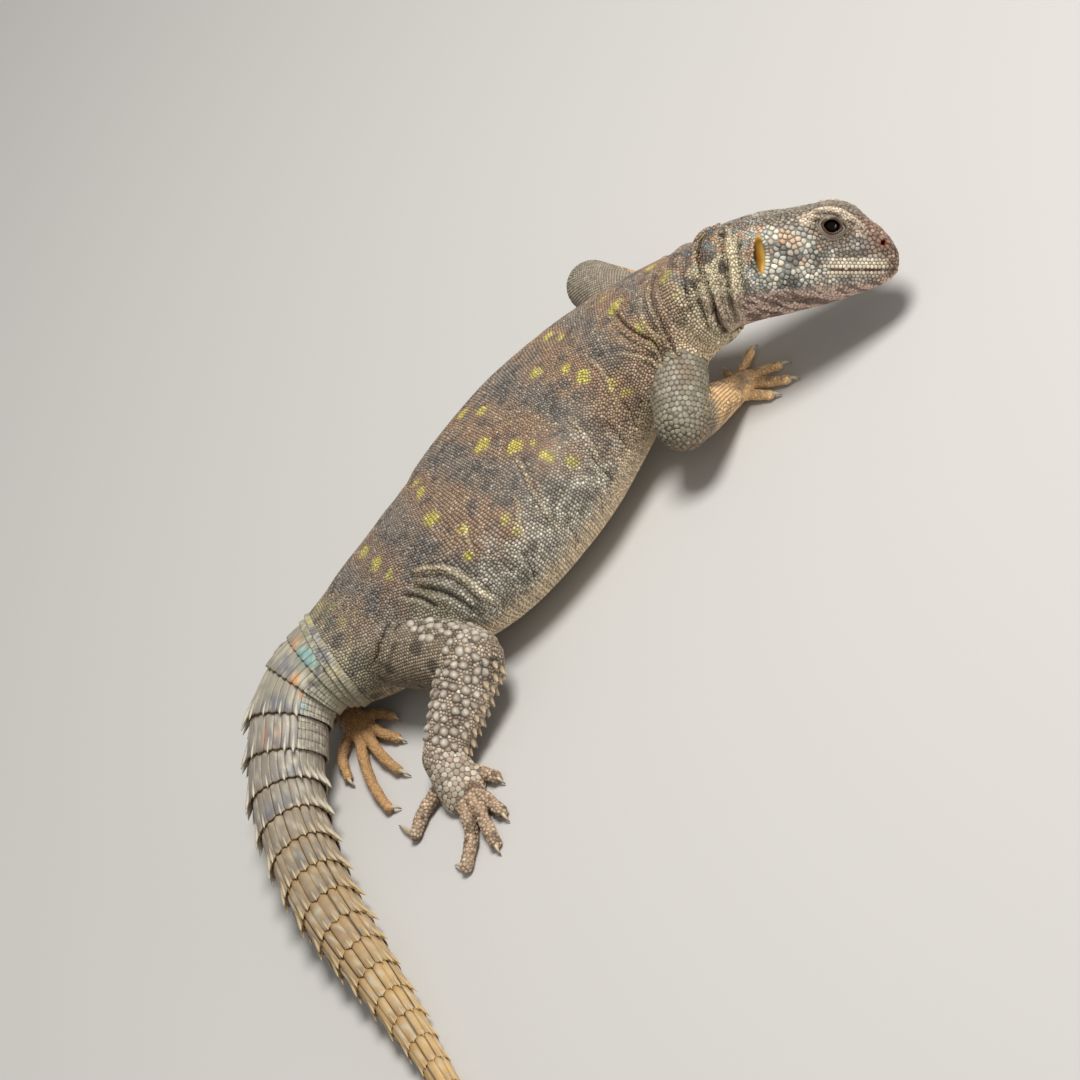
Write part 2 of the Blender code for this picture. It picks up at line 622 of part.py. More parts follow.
def make_tail():
    edges = whorl_edges()
    parting = np.round(np.linspace(0, len(edges) - 1, TAIL_NODES + 1)).astype(int)
    for number, (first, last) in enumerate(zip(parting, parting[1:])):
        tail = loft(f"tail_{number + 1}", tail_rings(edges, first, last))
        spines = [
            piece for start, end in zip(edges[first:last], edges[first + 1:last + 1])
            if end < BODY_KNOTS[-1] for piece in whorl_spines(start, end)
        ]
        combine(tail, "UNION", spines)
        finish(tail, TAIL_SKIN)


def limb_rings(joints, grow=0.0):
    """One leg segment between two joints, as a tapering round-ended tube that swells in its middle."""
    start, end = np.array(joints[0]), np.array(joints[1])
    middle = (start + end) / 2
    middle[3] *= LIMB_SWELL
    points = np.stack([start, middle, end])
    rings = tube_rings(points[:, :3], points[:, 3] + grow, LIMB_SIDES, rings=5)
    if grow == 0:
        rings[..., 2] = np.maximum(rings[..., 2], FLOOR)
    return rings


def tubercles(joints, facing, turns, places):
    """Short spines on the outer side of a leg segment, leaning towards the foot."""
    start, end = np.array(joints[0]), np.array(joints[1])
    forward = unit(end[:3] - start[:3])
    outward = unit(np.array(facing) - forward * (np.array(facing) @ forward))
    side = np.cross(forward, outward)
    pieces = []
    for number, turn in enumerate(np.radians(turns)):
        normal = outward * math.cos(turn) + side * math.sin(turn)
        for place in np.array(places) + TUBERCLE_STAGGER * (number % 2):
            at = start * (1 - place) + end * place
            root = at[:3] + normal * (at[3] - SPINE_SINK)
            tip = at[:3] + normal * (at[3] + TUBERCLE_HEIGHT) + forward * TUBERCLE_LEAN
            across = np.cross(forward, normal)
            pieces.append(spine(root, tip, across, TUBERCLE_HALF_WIDTH, TUBERCLE_RIDGE))
    return pieces


def toe_pieces(toes, radius):
    """Each toe as a tube on the floor, and its claw as a curved spike."""
    pieces = []
    for toe in toes:
        height = np.linspace(TOE_ROOT_HEIGHT, radius + 0.1, len(toe) - 1)
        points = [(x, y, z) for (x, y), z in zip(toe[:-1], height)]
        sizes = np.linspace(1.15, 0.95, len(points)) * radius
        rings = tube_rings(points, sizes, TOE_SIDES, rings=1 + 2 * (len(points) - 1))
        rings[..., 2] = np.maximum(rings[..., 2], FLOOR)
        pieces.append(loft("toe", rings))
        tip = np.array([*toe[-1], CLAW_TIP_HEIGHT])
        root = np.array(points[-1])
        claw = (root, root + (tip - root) * 0.55 + [0.0, 0.0, CLAW_ARCH], tip)
        radii = (CLAW_RADIUS, 0.7 * CLAW_RADIUS, CLAW_TIP_RADIUS)
        rings = tube_rings(claw, radii, CLAW_SIDES, rings=3, pointed=True)
        rings[..., 2] = np.maximum(rings[..., 2], FLOOR)
        pieces.append(loft("claw", rings))
    return pieces


def palm(joint, toes, radius):
    """The sole: a tube from the wrist or ankle to the roots of the toes that flattens on its way."""
    roots = np.array([toe[0] for toe in toes])
    middle = np.array([*roots.mean(axis=0), PALM_HALF_HEIGHT])
    wide = 0.5 * np.linalg.norm(roots[0] - roots[-1]) + PALM_MARGIN * radius
    start = np.array(joint[:3])
    points = (start, start * 0.45 + middle * 0.55, middle)
    rings = tube_rings(points, (joint[3], 0.94 * wide, wide), LIMB_SIDES, rings=6)
    centre = rings.mean(axis=1, keepdims=True)
    flattest = PALM_HALF_HEIGHT / wide
    flat = np.concatenate([[1.0, 1.0], np.linspace(1.0, flattest, 6), [flattest, flattest]])
    rings[..., 2] = centre[..., 2] + (rings[..., 2] - centre[..., 2]) * flat[:, None]
    rings[..., 2] = np.maximum(rings[..., 2], FLOOR)
    return loft("palm", rings)


def trunk_cutter():
    """The trunk and tail root, larger all round by the gap, for cutting the legs clear of them."""
    lengths = np.linspace(body_length(1.0), body_length(21.0), 48)
    scale = np.where(lengths > body_length(TAIL_START) - 2.0, WHORL_REAR, 1.0)
    return loft("trunk_cutter", body_rings(lengths, BODY_SIDES, GAP + 0.1, scale))


def make_leg(names, joints, toes, toe_radius, spiny=None):
    """Upper and lower leg and foot, each cut clear of what it grows from by the gap."""
    upper = loft(names[0], limb_rings(joints[:2]))
    lower = loft(names[1], limb_rings(joints[1:]))
    if spiny:
        combine(upper, "UNION", tubercles(joints[:2], *spiny[0]))
        combine(lower, "UNION", tubercles(joints[1:], *spiny[1]))
    combine(upper, "DIFFERENCE", [trunk_cutter()])
    combine(lower, "DIFFERENCE", [loft("upper_cutter", limb_rings(joints[:2], JOINT_GAP))])
    combine(lower, "DIFFERENCE", [trunk_cutter()])
    foot = palm(joints[2], toes, toe_radius)
    foot.name = names[2]
    combine(foot, "UNION", toe_pieces(toes, toe_radius))
    combine(foot, "DIFFERENCE", [loft("lower_cutter", limb_rings(joints[1:], JOINT_GAP))])
    combine(foot, "DIFFERENCE", [trunk_cutter()])
    finish(upper, LIMB_SKIN)
    finish(lower, LIMB_SKIN)
    finish(foot, HAND_SKIN)


def main():
    clear_scene()
    make_head()
    make_neck_and_torso()
    make_tail()
    for side, arm, hand in (("right", RIGHT_ARM, RIGHT_HAND), ("left", LEFT_ARM, LEFT_HAND)):
        names = (f"upper_arm_{side}", f"forearm_{side}", f"hand_{side}")
        make_leg(names, arm, hand, HAND_TOE_RADIUS)
    for side, leg, foot, radius, spiny in (
        ("right", RIGHT_LEG, RIGHT_FOOT, RIGHT_FOOT_TOE_RADIUS, RIGHT_TUBERCLES),
        ("left", LEFT_LEG, LEFT_FOOT, LEFT_FOOT_TOE_RADIUS, LEFT_TUBERCLES),
    ):
        names = (f"thigh_{side}", f"shank_{side}", f"foot_{side}")
        make_leg(names, leg, foot, radius, spiny)


main()
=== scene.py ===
"""Looks of a life-size ornate spiny-tailed lizard lying on a pale floor.

Lengths are millimetres in the body frame of the solids: X towards the head, Y to the animal's left, Z up
and the floor at zero. FRAME_SHIFT moves that frame to the part's, and MM turns millimetres into metres.
One skin replaces the solids of flesh. Scales, tail plates, claws and eyes are meshes of their own.
"""

import math

import bmesh
import bpy
import numpy as np
from mathutils import Matrix, Vector, kdtree
from mathutils.bvhtree import BVHTree


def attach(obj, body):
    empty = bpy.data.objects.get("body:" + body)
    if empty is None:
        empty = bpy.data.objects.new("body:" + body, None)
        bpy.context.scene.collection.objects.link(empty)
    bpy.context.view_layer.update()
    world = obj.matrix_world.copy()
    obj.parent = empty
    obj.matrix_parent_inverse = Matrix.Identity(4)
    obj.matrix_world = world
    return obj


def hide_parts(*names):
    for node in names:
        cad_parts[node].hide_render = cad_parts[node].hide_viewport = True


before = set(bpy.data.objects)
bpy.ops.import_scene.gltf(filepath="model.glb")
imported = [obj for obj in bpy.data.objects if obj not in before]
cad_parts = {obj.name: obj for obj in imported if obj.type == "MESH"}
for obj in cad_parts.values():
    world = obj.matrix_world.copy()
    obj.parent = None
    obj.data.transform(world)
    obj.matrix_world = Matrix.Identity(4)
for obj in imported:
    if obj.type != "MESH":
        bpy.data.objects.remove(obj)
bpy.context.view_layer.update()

MM = 0.001
FRAME_SHIFT = np.array([-2.0, 47.0, 0.0])
LOWEST, LOWEST_SCALE = 0.05, 0.03  # heights above the floor that skin and scales keep
RANDOM = np.random.default_rng(7)

# Body path: x, y, z, half width, height above the middle, depth below it, roll in degrees.
BODY = np.array([
    (76.4, -18.5, 28.7, 12, 12.4, 13.4, 38),
    (70.8, -13.6, 28.2, 12.6, 11.4, 13.8, 28),
    (65, -9, 27, 14.6, 11.3, 14.4, 19),
    (57.5, -4.6, 25.4, 17.4, 12.1, 15.6, 12),
    (48, -0.8, 23.6, 20, 13.2, 17, 7),
    (36, 2.6, 21.4, 23, 14.8, 18.6, 3),
    (22, 3.4, 19.3, 26.4, 16.6, 19.3, 0),
    (5, 1, 18.2, 28, 17.8, 19, 0),
    (-12, -0.6, 17.4, 26.6, 17.6, 18, 0),
    (-25, 2.2, 16.4, 23.4, 16.4, 16.6, 0),
    (-36, 4.6, 15.8, 19.8, 14.8, 15.6, 0),
    (-46, 5.2, 15.9, 17.8, 13.2, 14.6, 0),
    (-54, 6, 16.8, 15.2, 11.6, 12.6, 0),
    (-61, 6.8, 17.6, 12.6, 10, 10.2, 0),
    (-68, 6.4, 17.3, 11, 9.3, 9.2, 0),
    (-74.6, 3.2, 15.8, 10.4, 8.8, 8.4, 0),
    (-80.2, -2.2, 13.8, 9.9, 8.3, 8, 0),
    (-85.4, -8, 11.6, 9.3, 7.9, 7.8, 0),
    (-89.3, -15.6, 9.8, 8.8, 7.4, 7.8, 0),
    (-92.2, -24.5, 8.6, 8.3, 7, 7.8, 0),
    (-94.2, -34.6, 7.8, 7.9, 6.6, 7.5, 0),
    (-95.6, -45.5, 7.1, 7.4, 6.1, 6.9, 0),
    (-96.3, -57.6, 6.4, 6.7, 5.5, 6.3, 0),
    (-96.5, -69.6, 5.7, 5.9, 4.9, 5.6, 0),
    (-96.8, -81.6, 4.9, 4.9, 4.2, 4.8, 0),
    (-97.2, -93.6, 4.1, 4.1, 3.5, 4, 0),
    (-97.8, -105.6, 3.3, 3.3, 2.9, 3.3, 0),
    (-98.6, -117.4, 2.6, 2.6, 2.3, 2.6, 0),
    (-99.5, -128.4, 1.9, 1.8, 1.7, 1.9, 0),
    (-100.5, -138, 1.2, 0.9, 0.9, 1.2, 0),
])
NECK_START, TAIL_START = 0.55, 12.6
BODY_SQUARENESS = 2.25
FOLDS = ((0.75, 0.9, 1.0), (1.15, -0.45, 1.1), (1.6, 0.5, 0.9), (3.3, 0.45, 1.6), (3.9, -0.3, 1.6))
WHORL_PITCH = (9.0, 10.2, 6.4)

# Head frame: x forward from the ear, y to the left, z up.
HEAD_ORIGIN = np.array([82.9, -20.9, 28.0])
HEAD_PITCH, HEAD_YAW, HEAD_ROLL = 30.8, 39.0, 38.4
HEAD_BACK, GAP_TO_NECK = -7.0, 0.3
HEAD = np.array([
    (-7.5, 9.4, 8.2, 6.9, 11.8, -2.4, 8.6, -12, -17),
    (0, 11.9, 9, 8.8, 13, -1.4, 9.4, -10.4, -14.2),
    (7, 12.7, 8.8, 10.4, 13, -1.2, 9.2, -9.2, -12.4),
    (13, 13.8, 8.6, 11.8, 11.6, 0, 8.4, -7.8, -10.8),
    (18, 14.7, 8.2, 12.6, 10, 0.8, 7.6, -6.6, -9.4),
    (22, 13.9, 7.2, 11.6, 8.6, 1, 6.6, -5.6, -7.9),
    (26, 10.6, 5.6, 8.8, 7.2, 1, 5.5, -4.6, -6.4),
    (29.5, 8, 4.3, 6.4, 5.9, 0.9, 4.5, -3.6, -5),
    (31.6, 5.4, 3.2, 4.4, 4.4, 0.7, 3.3, -2.5, -3.5),
    (32.8, 3.2, 1.9, 2.6, 2.7, 0.4, 1.9, -1.5, -2.1),
])
EYE = np.array([17.6, 6.9, 9.5])
EYE_RADIUS = 2.9
EYE_FACING, EYE_TILT = (0.10, 1.0, 0.10), 9.0
EYE_OPENING = (2.05, 1.66)
LID_THICKNESS = 0.75
EAR = np.array([1.4, 12.2, 3.2])
EAR_HALF_HEIGHT, EAR_HALF_WIDTH, EAR_DEPTH, EAR_LEAN = 4.4, 1.3, 2.6, 0.10
NOSTRIL = np.array([29.6, 4.1, 5.5])
NOSTRIL_RADIUS = 0.85
MOUTH_CORNER, MOUTH_FRONT = 17.5, 32.4
MOUTH_HEIGHT, MOUTH_RISE, MOUTH_DEPTH, MOUTH_WIDTH = -0.9, 0.5, 0.9, 0.45

# The ridge over the eye: x, y, z and radius.
BROW = (
    (11.8, 8.2, 11.3, 0.9), (14.8, 9.1, 12.7, 1.25), (18.4, 9.0, 12.9, 1.35), (21.8, 7.6, 11.2, 1.25),
    (24.8, 6.0, 8.8, 0.8),
)

# Legs: joints as x, y, z and radius; then toes as x, y of their bends and of the claw's tip.
LEGS = {
    "arm_right": ((57.0, -12.0, 23.0, 7.6), (43.0, -28.4, 16.2, 6.7), (55.8, -19.6, 6.2, 4.5)),
    "arm_left": ((58.0, 8.0, 22.0, 7.4), (55.7, 37.4, 18.4, 7.0), (66.0, 33.0, 5.8, 3.9)),
    "leg_right": ((-43.0, -6.0, 16.0, 10.2), (-31.4, -30.0, 13.6, 7.9), (-52.7, -38.8, 6.4, 5.3)),
    "leg_left": ((-46.0, 12.0, 13.0, 8.0), (-66.0, 30.0, 8.2, 6.6), (-64.5, 5.0, 3.3, 3.2)),
}
TOES = {
    "arm_right": (
        ((60.5, -13.5), (61.5, -7), (62, -3.6)),
        ((63, -12.5), (69, -8), (71.6, -6.8)),
        ((63.8, -15.8), (70.4, -20), (73.2, -21.6)),
        ((62.6, -18.6), (69, -26.4), (71.2, -28.6)),
        ((59.8, -20.2), (63.6, -25.8), (65.4, -27.8)),
    ),
    "arm_left": (
        ((70, 28), (73.6, 22.6), (74.8, 19.8)),
        ((72, 29.4), (78.6, 25.8), (81.4, 24.6)),
        ((73, 31.4), (82, 31.8), (85, 32)),
        ((72.2, 34), (80.2, 38), (82.8, 39.6)),
        ((70, 35.6), (74, 41.8), (75, 44.4)),
    ),
    "leg_right": (
        ((-50.6, -43.4), (-46.8, -52.2), (-46.4, -55)),
        ((-52.4, -50.4), (-51.1, -62.7), (-51.4, -65.8)),
        ((-54.4, -52.4), (-55.6, -61.8), (-56.8, -68.8), (-57.8, -71.8)),
        ((-56.8, -51.6), (-59.6, -60.8), (-65.6, -67.4), (-67.6, -62.6)),
        ((-59.6, -41.4), (-65, -42.4), (-70.2, -45.6), (-72, -37)),
    ),
    "leg_left": (
        ((-61.4, 0.8), (-58.6, -2), (-56.4, -6), (-55.6, -8.6)),
        ((-62.4, -2.2), (-60.6, -9.5), (-58.8, -13.8), (-57.8, -16.4)),
        ((-64, -4.4), (-64.4, -16.5), (-63.6, -23.2), (-62.3, -27)),
        ((-65.8, -3.6), (-69.1, -13.2), (-71.1, -26.3), (-71.2, -31), (-69, -33.2)),
        ((-66.8, 0.4), (-72, -3.2), (-74.4, -10.6), (-74.6, -13.8)),
    ),
}
TOE_RADIUS = {"arm_right": 1.35, "arm_left": 1.35, "leg_right": 1.65, "leg_left": 1.4}
TOE_ROOT_HEIGHT = 2.6
PALM_HALF_HEIGHT = 2.3
PALM_MARGIN = 0.9
CLAW_RADIUS, CLAW_TIP_RADIUS, CLAW_TIP_HEIGHT, CLAW_ARCH = 0.75, 0.12, 0.45, 0.75

# How far the skin lies inside the solids, and how finely it is made.
SKIN_SINK = 0.28
TAIL_SKIN = 0.93
VOXEL = 0.34
SKIN_TRIANGLES = 176000

# Scales: step between the trunk's rows, tries at loose ones, and most triangles of a piece.
TRUNK_ROW, LOOSE_SEEDS, MOST_TRIANGLES = 0.70, 260000, 150000
UV_PATCH, UV_PLATE = 0.0015, 0.0014

UNIFORM_NODES = (
    "head", "neck", "torso", "tail_1", "tail_2", "tail_3", "tail_4", "tail_5",
    "upper_arm_left", "upper_arm_right", "forearm_left", "forearm_right", "hand_left", "hand_right",
    "thigh_left", "thigh_right", "shank_left", "shank_right", "foot_left", "foot_right",
)

# Rolls of the eyelids: share of the opening, radius, and how far they sink into the lids.
LID_ROLLS = ((1.10, 0.28, 0.08), (1.36, 0.34, 0.10), (1.64, 0.36, 0.12), (1.92, 0.36, 0.16))

# Folds and wrinkles of the skin: depth of the valley, half width, then points as length along the body
# path and degrees round from the back by the right side. A negative depth is a ridge.
CREASES = (
    (2.5, 0.62, (
        (0.6, -175), (0.5, -120), (0.4, -60), (0.3, 0), (0.4, 60), (0.6, 91), (2.2, 118), (3.4, 140),
        (3, 175),
    )),
    (-0.8, 0.6, ((2.5, -110), (2, -60), (1.8, 0), (1.9, 60), (2.3, 91), (4.1, 120), (5.4, 145))),
    (0.8, 0.6, ((5.2, -30), (4.6, 0), (5, 40), (5.8, 70), (7.5, 100))),
    (0.9, 0.6, ((12.8, 16), (14.5, 42), (15.3, 80), (18, 100), (20.5, 116))),
    (-0.4, 0.6, ((14.2, 18), (15.9, 44), (16.6, 78), (19, 96))),
    (0.8, 0.6, ((13.5, -20), (14.5, -42), (15.3, -80), (18, -100))),
    (0.8, 0.45, ((27.6, 6), (25.2, 37), (21.5, 70), (20.5, 86), (23.7, 106))),
    (-0.65, 0.5, ((28.8, 8), (26.6, 38), (22.9, 71), (21.9, 87), (25.1, 104))),
    (-0.55, 0.45, ((18, 30), (19.6, 60), (18.6, 84), (18.2, 100))),
    (-0.5, 0.45, ((31, 52), (27.5, 72), (24.9, 90), (25, 102))),
    (0.9, 0.6, ((27.5, -30), (26.2, -57), (24.5, -86), (27, -104))),
    (-1, 0.8, ((106.5, 30), (101.5, 40), (99.4, 46), (98.1, 60), (97.8, 77), (97.3, 92))),
    (1.2, 0.8, ((108, 42), (103.4, 54), (101.2, 68), (100.6, 84))),
    (0.8, 0.7, ((112, 40), (108, 54), (106, 66))),
    (-0.5, 0.8, ((104.5, -50), (99.6, -58), (98.1, -68), (98, -80))),
    (0.8, 1, ((107, -55), (103, -64), (101.4, -76))),
    (-0.45, 0.45, ((75, 31), (75.6, 36), (77.6, 49), (81, 69), (82.6, 86))),
    (-0.4, 0.45, ((82.6, 44), (83.4, 50), (86.2, 58), (88.6, 70))),
    (-0.4, 0.45, ((92.8, 32), (93.6, 38), (95, 50))),
    (-0.4, 0.45, ((38, 30), (37, 52), (38.5, 72), (42, 90))),
    (-0.35, 0.45, ((55, 44), (56, 60), (59, 78), (62, 90))),
    (0.5, 0.6, ((47, 76), (49, 92), (52, 106))),
    (0.5, 0.6, ((60, 74), (62.5, 88), (64, 104))),
    (0.5, 0.7, ((90, 74), (91, 88), (92.5, 102))),
    (0.5, 0.6, ((38, 84), (40, 96), (43, 106))),
    (0.45, 0.6, ((70, 86), (71, 98), (73, 108))),
    (0.45, 0.6, ((80, 88), (81, 100), (83, 108))),
    (0.9, 0.7, ((122, 54), (126, 66), (131, 76))),
    (0.7, 0.6, ((118, 60), (122, 74), (127, 84))),
    (-0.3, 0.5, ((72, -58), (74, -68), (76, -82))),
    (0.4, 0.7, ((58, -80), (60, -90), (63, -100))),
    (0.4, 0.7, ((88, -80), (89, -90), (91, -100))),
)

# Creases of the neck in the head's frame, for its left side.
HEAD_CREASES = (
    (1.3, 0.6, ((-8.6, 2.5, 9.2), (-7.8, 8.2, 6.4), (-6.4, 12, -1), (-5.4, 10.4, -8), (-4.3, 7, -13))),
    (-0.5, 0.7, ((-7, 4.5, 9), (-6.2, 9.4, 6), (-4.9, 12.4, -1), (-4.2, 10.8, -7.5))),
    (0.9, 0.5, ((-4.2, 9.2, 7.6), (-3.4, 12, 2), (-2.4, 12.4, -4.2), (-1.8, 10.8, -8.4))),
    (0.55, 0.45, ((-1, 10.4, 7.6), (-1.2, 12.2, 3), (-0.6, 12.6, -1.2))),
    (0.45, 0.5, ((2, 9.6, -8.6), (8, 9.2, -8.2), (14, 8, -7.2))),
    (0.4, 0.5, ((-1, 8, -11.6), (6, 6.6, -11.2), (12, 5.6, -9.8))),
    (0.7, 0.5, ((12.4, 10.2, 12.8), (15.2, 11, 12.2), (18.4, 10.9, 12), (21.6, 9.4, 10), (23.6, 8, 8))),
)

# Rows of yellow spots: length along the body path, degrees, radius. Those of the unseen left side
# follow the right side's rows.
SPOTS = (
    (16.5, -8, 1.6), (9.3, 40, 2), (7.5, 74, 1.7), (31.3, -60, 1.9), (29.5, -10, 1.2), (26.3, 10, 2.3),
    (21.1, 59, 1.7), (20, 81, 1.2), (45.4, -19, 1.8), (42.5, -6, 1.2), (52.1, 2, 1.9), (44.9, 21, 1.5),
    (41.7, 40, 1.9), (36.8, 67, 1.6), (35.6, 83, 1.5), (70.9, -28, 2), (68.6, -11, 1.9),
    (76.1, 6, 2.1), (72.6, 25, 2.1), (69.7, 33, 1.1), (70.6, 46, 1.9), (68, 63, 1.9),
    (93.8, -20, 1.6), (94.1, -8, 1.9), (95.8, 11, 2.4), (92.9, 34, 1.6), (95.5, 49, 1.3),
    (87.7, 51, 1.5), (87.7, 62, 1.5), (116.3, -13, 2), (114, 5, 2.1), (112, 21, 1.5),
    (48, -42, 2), (46.5, -64, 1.7), (74, -50, 2), (73, -70, 1.7), (97, -42, 1.8),
    (98, -62, 1.6), (12, -44, 1.8),
)
SPOT_ROWS = (-6.0, 15.0, 28.0, 45.0, 71.5, 94.0, 114.5, 132.0)
SPOT_ROW_SLANT = 0.09

# Camera: its height above the floor and its roll in degrees, what it looks at, and how far it is.
CAMERA_ELEVATION, CAMERA_ROLL = 36.0, 46.0
CAMERA_TARGET = np.array([0.0, -22.0, 18.0])
CAMERA_DISTANCE, CAMERA_LENS, CAMERA_SENSOR = 700.0, 98.0, 36.0
LIGHT_DISTANCE = 0.9
FLOOR_HALF = 3.0


def to_world(points):
    """The part's frame in metres: (points + FRAME_SHIFT) * MM."""
    return (np.asarray(points, float) + FRAME_SHIFT) * MM


def unit(vectors):
    """Vectors divided by their lengths."""
    return vectors / np.maximum(np.linalg.norm(vectors, axis=-1, keepdims=True), 1e-12)


def circle(count):
    """Angles evenly round a full turn, from zero."""
    return np.arange(count) * 2 * math.pi / count


def turned(first, second, cos, sin):
    """Two axes turned in their plane: first * cos - second * sin, and second * cos + first * sin."""
    return first * cos - second * sin, second * cos + first * sin


def spokes(first, second, angle):
    """Directions round each place: first * cos(angle) + second * sin(angle)."""
    return first[:, None] * np.cos(angle)[None, :, None] + second[:, None] * np.sin(angle)[None, :, None]


def bell(x, middle, half, power=2):
    """exp(-((x - middle) / half) ** power)."""
    return np.exp(-(((x - middle) / half) ** power))


def smooth(knots, values, at):
    """Cubic Hermite curve through the rows of values, its slope at a knot the mean of its neighbours'."""
    slopes = np.gradient(values, knots, axis=0)
    index = np.clip(np.searchsorted(knots, at) - 1, 0, len(knots) - 2)
    span = knots[index + 1] - knots[index]
    t = ((at - knots[index]) / span)[:, None]
    start, end = values[index], values[index + 1]
    out, into = slopes[index] * span[:, None], slopes[index + 1] * span[:, None]
    return (
        (2 * t**3 - 3 * t**2 + 1) * start
        + (t**3 - 2 * t**2 + t) * out
        + (3 * t**2 - 2 * t**3) * end
        + (t**3 - t**2) * into
    )


def curve(places, count):
    """Evenly spaced steps of a smooth curve through these places."""
    places = np.array(places, float)
    knots = np.arange(len(places), dtype=float)
    return smooth(knots, places, np.linspace(0, knots[-1], count))


def ease(low, high, x):
    """0 below low, 1 above high, and t * t * (3 - 2 * t) between."""
    t = np.clip((x - low) / (high - low), 0.0, 1.0)
    return t * t * (3 - 2 * t)


def noise(points, cell, seed):
    """Smooth random values from 0 to 1: a trilinear mix of hashed corners of cubes of this size in mm."""
    at = np.asarray(points, float) / cell
    corner = np.floor(at).astype(np.int64)
    part = at - corner
    part = part * part * (3 - 2 * part)
    total = np.zeros(len(at))
    for step in np.ndindex(2, 2, 2):
        x, y, z = (corner + step).T
        mixed = (x * 73856093) ^ (y * 19349663) ^ (z * 83492791) ^ (seed * 2654435761)
        mixed = (mixed ^ (mixed >> 13)) * 1274126177 & 0x7FFFFFFF
        mixed = (mixed ^ (mixed >> 16)) & 0xFFFF
        total += np.where(step, part, 1 - part).prod(axis=1) * mixed / 65535.0
    return total


def body_length(row):
    """Length along the body path at a row of BODY."""
    steps = np.linalg.norm(np.diff(BODY[:, :3], axis=0), axis=1)
    return np.interp(row, np.arange(len(BODY)), np.concatenate([[0.0], np.cumsum(steps)]))


BODY_KNOTS = body_length(np.arange(len(BODY)))
TAIL_LENGTH = body_length(TAIL_START)


def fold_depth(lengths):
    """How much the neck's folds take off the sizes: a sum of bell curves."""
    return sum(depth * bell(lengths, body_length(row), half) for row, depth, half in FOLDS)


def body_axes(lengths):
    """Middle, left and up vectors of the body path at these lengths, and its three sizes."""
    row = smooth(BODY_KNOTS, BODY, lengths)
    ahead = smooth(BODY_KNOTS, BODY, lengths - 0.05)[:, :3]
    behind = smooth(BODY_KNOTS, BODY, lengths + 0.05)[:, :3]
    forward = unit(ahead - behind)
    left = unit(np.cross([0.0, 0.0, 1.0], forward))
    up = np.cross(forward, left)
    roll = np.radians(row[:, 6:7])
    left, up = turned(left, up, np.cos(roll), np.sin(roll))
    return row[:, :3], left, up, row[:, 3:6] - fold_depth(lengths)[:, None]


def body_rings(lengths, angle, grow=0.0, scale=1.0):
    """Superellipse sections: middle - left * half_width * sin(a)^p + up * height * cos(a)^p."""
    lengths = np.atleast_1d(np.asarray(lengths, float))
    middle, left, up, size = body_axes(lengths)
    size = size * np.broadcast_to(scale, len(lengths))[:, None]
    if np.ndim(grow) < 2:
        grow = np.broadcast_to(grow, len(lengths))[:, None]
    sine, cosine = np.sin(angle), np.cos(angle)
    across = -np.sign(sine) * np.abs(sine) ** (2 / BODY_SQUARENESS)
    high = np.sign(cosine) * np.abs(cosine) ** (2 / BODY_SQUARENESS)
    height = (np.where(high > 0, size[:, 1:2], size[:, 2:3]) + grow) * high
    return clamp(
        middle[:, None] + left[:, None] * ((size[:, 0:1] + grow) * across)[..., None]
        + up[:, None] * height[..., None]
    )


def head_axes():
    """Forward, left and up vectors of the head's frame."""
    yaw, pitch, roll = np.radians([HEAD_YAW, HEAD_PITCH, HEAD_ROLL])
    level = math.cos(pitch)
    forward = np.array([level * math.cos(yaw), -level * math.sin(yaw), -math.sin(pitch)])
    left = unit(np.cross([0.0, 0.0, 1.0], forward))
    return np.array([forward, *turned(left, np.cross(forward, left), math.cos(roll), math.sin(roll))])


HEAD_AXES = head_axes()


def head_to_body(points):
    """HEAD_ORIGIN + points times the head's axes."""
    return HEAD_ORIGIN + np.asarray(points, float) @ HEAD_AXES


def body_to_head(points):
    """(points - HEAD_ORIGIN) along each of the head's axes."""
    return (np.asarray(points, float) - HEAD_ORIGIN) @ HEAD_AXES.T


def on_side(points, side):
    """Points of the head's frame on its left side (1), or mirrored to its right one (-1)."""
    return np.asarray(points, float) * [1.0, side, 1.0]


def placed(points, side):
    """Points of the head's frame, for one side, in the body frame."""
    return head_to_body(on_side(points, side))


def left_half(head):
    """Points of the head's frame, those of its right side mirrored to the left."""
    return head * [1, 0, 1] + np.abs(head) * [0, 1, 0]


def head_sections(stations, sides, grow=0.0):
    """Sections of the head in its own frame: a closed curve through crown, brow, cheek, jaw and throat."""
    row = smooth(HEAD[:, 0], HEAD, np.atleast_1d(np.asarray(stations, float)))
    zero = np.zeros(len(row))
    half = [(zero, row[:, 1]), (row[:, 2], row[:, 3]), (row[:, 4], row[:, 5]), (row[:, 6], row[:, 7])]
    throat = [(zero, row[:, 8])]
    right = [(-y, z) for y, z in half[1:]]
    corners = half[:1] + right + throat + half[:0:-1]
    corners = np.array(corners).transpose(2, 0, 1)
    wrapped = np.concatenate([corners[:, -2:], corners, corners[:, :3]], axis=1)
    knots = np.arange(-2.0, len(corners[0]) + 3)
    at = np.arange(sides) * len(corners[0]) / sides
    rings = np.array([smooth(knots, one, at) for one in wrapped])
    if grow:
        middle = rings.mean(axis=1, keepdims=True)
        rings = middle + (rings - middle) * (1 + grow / np.linalg.norm(rings - middle, axis=2, keepdims=True))
    forward = np.broadcast_to(row[:, 0][:, None, None], (*rings.shape[:2], 1))
    return np.concatenate([forward, rings], axis=2)


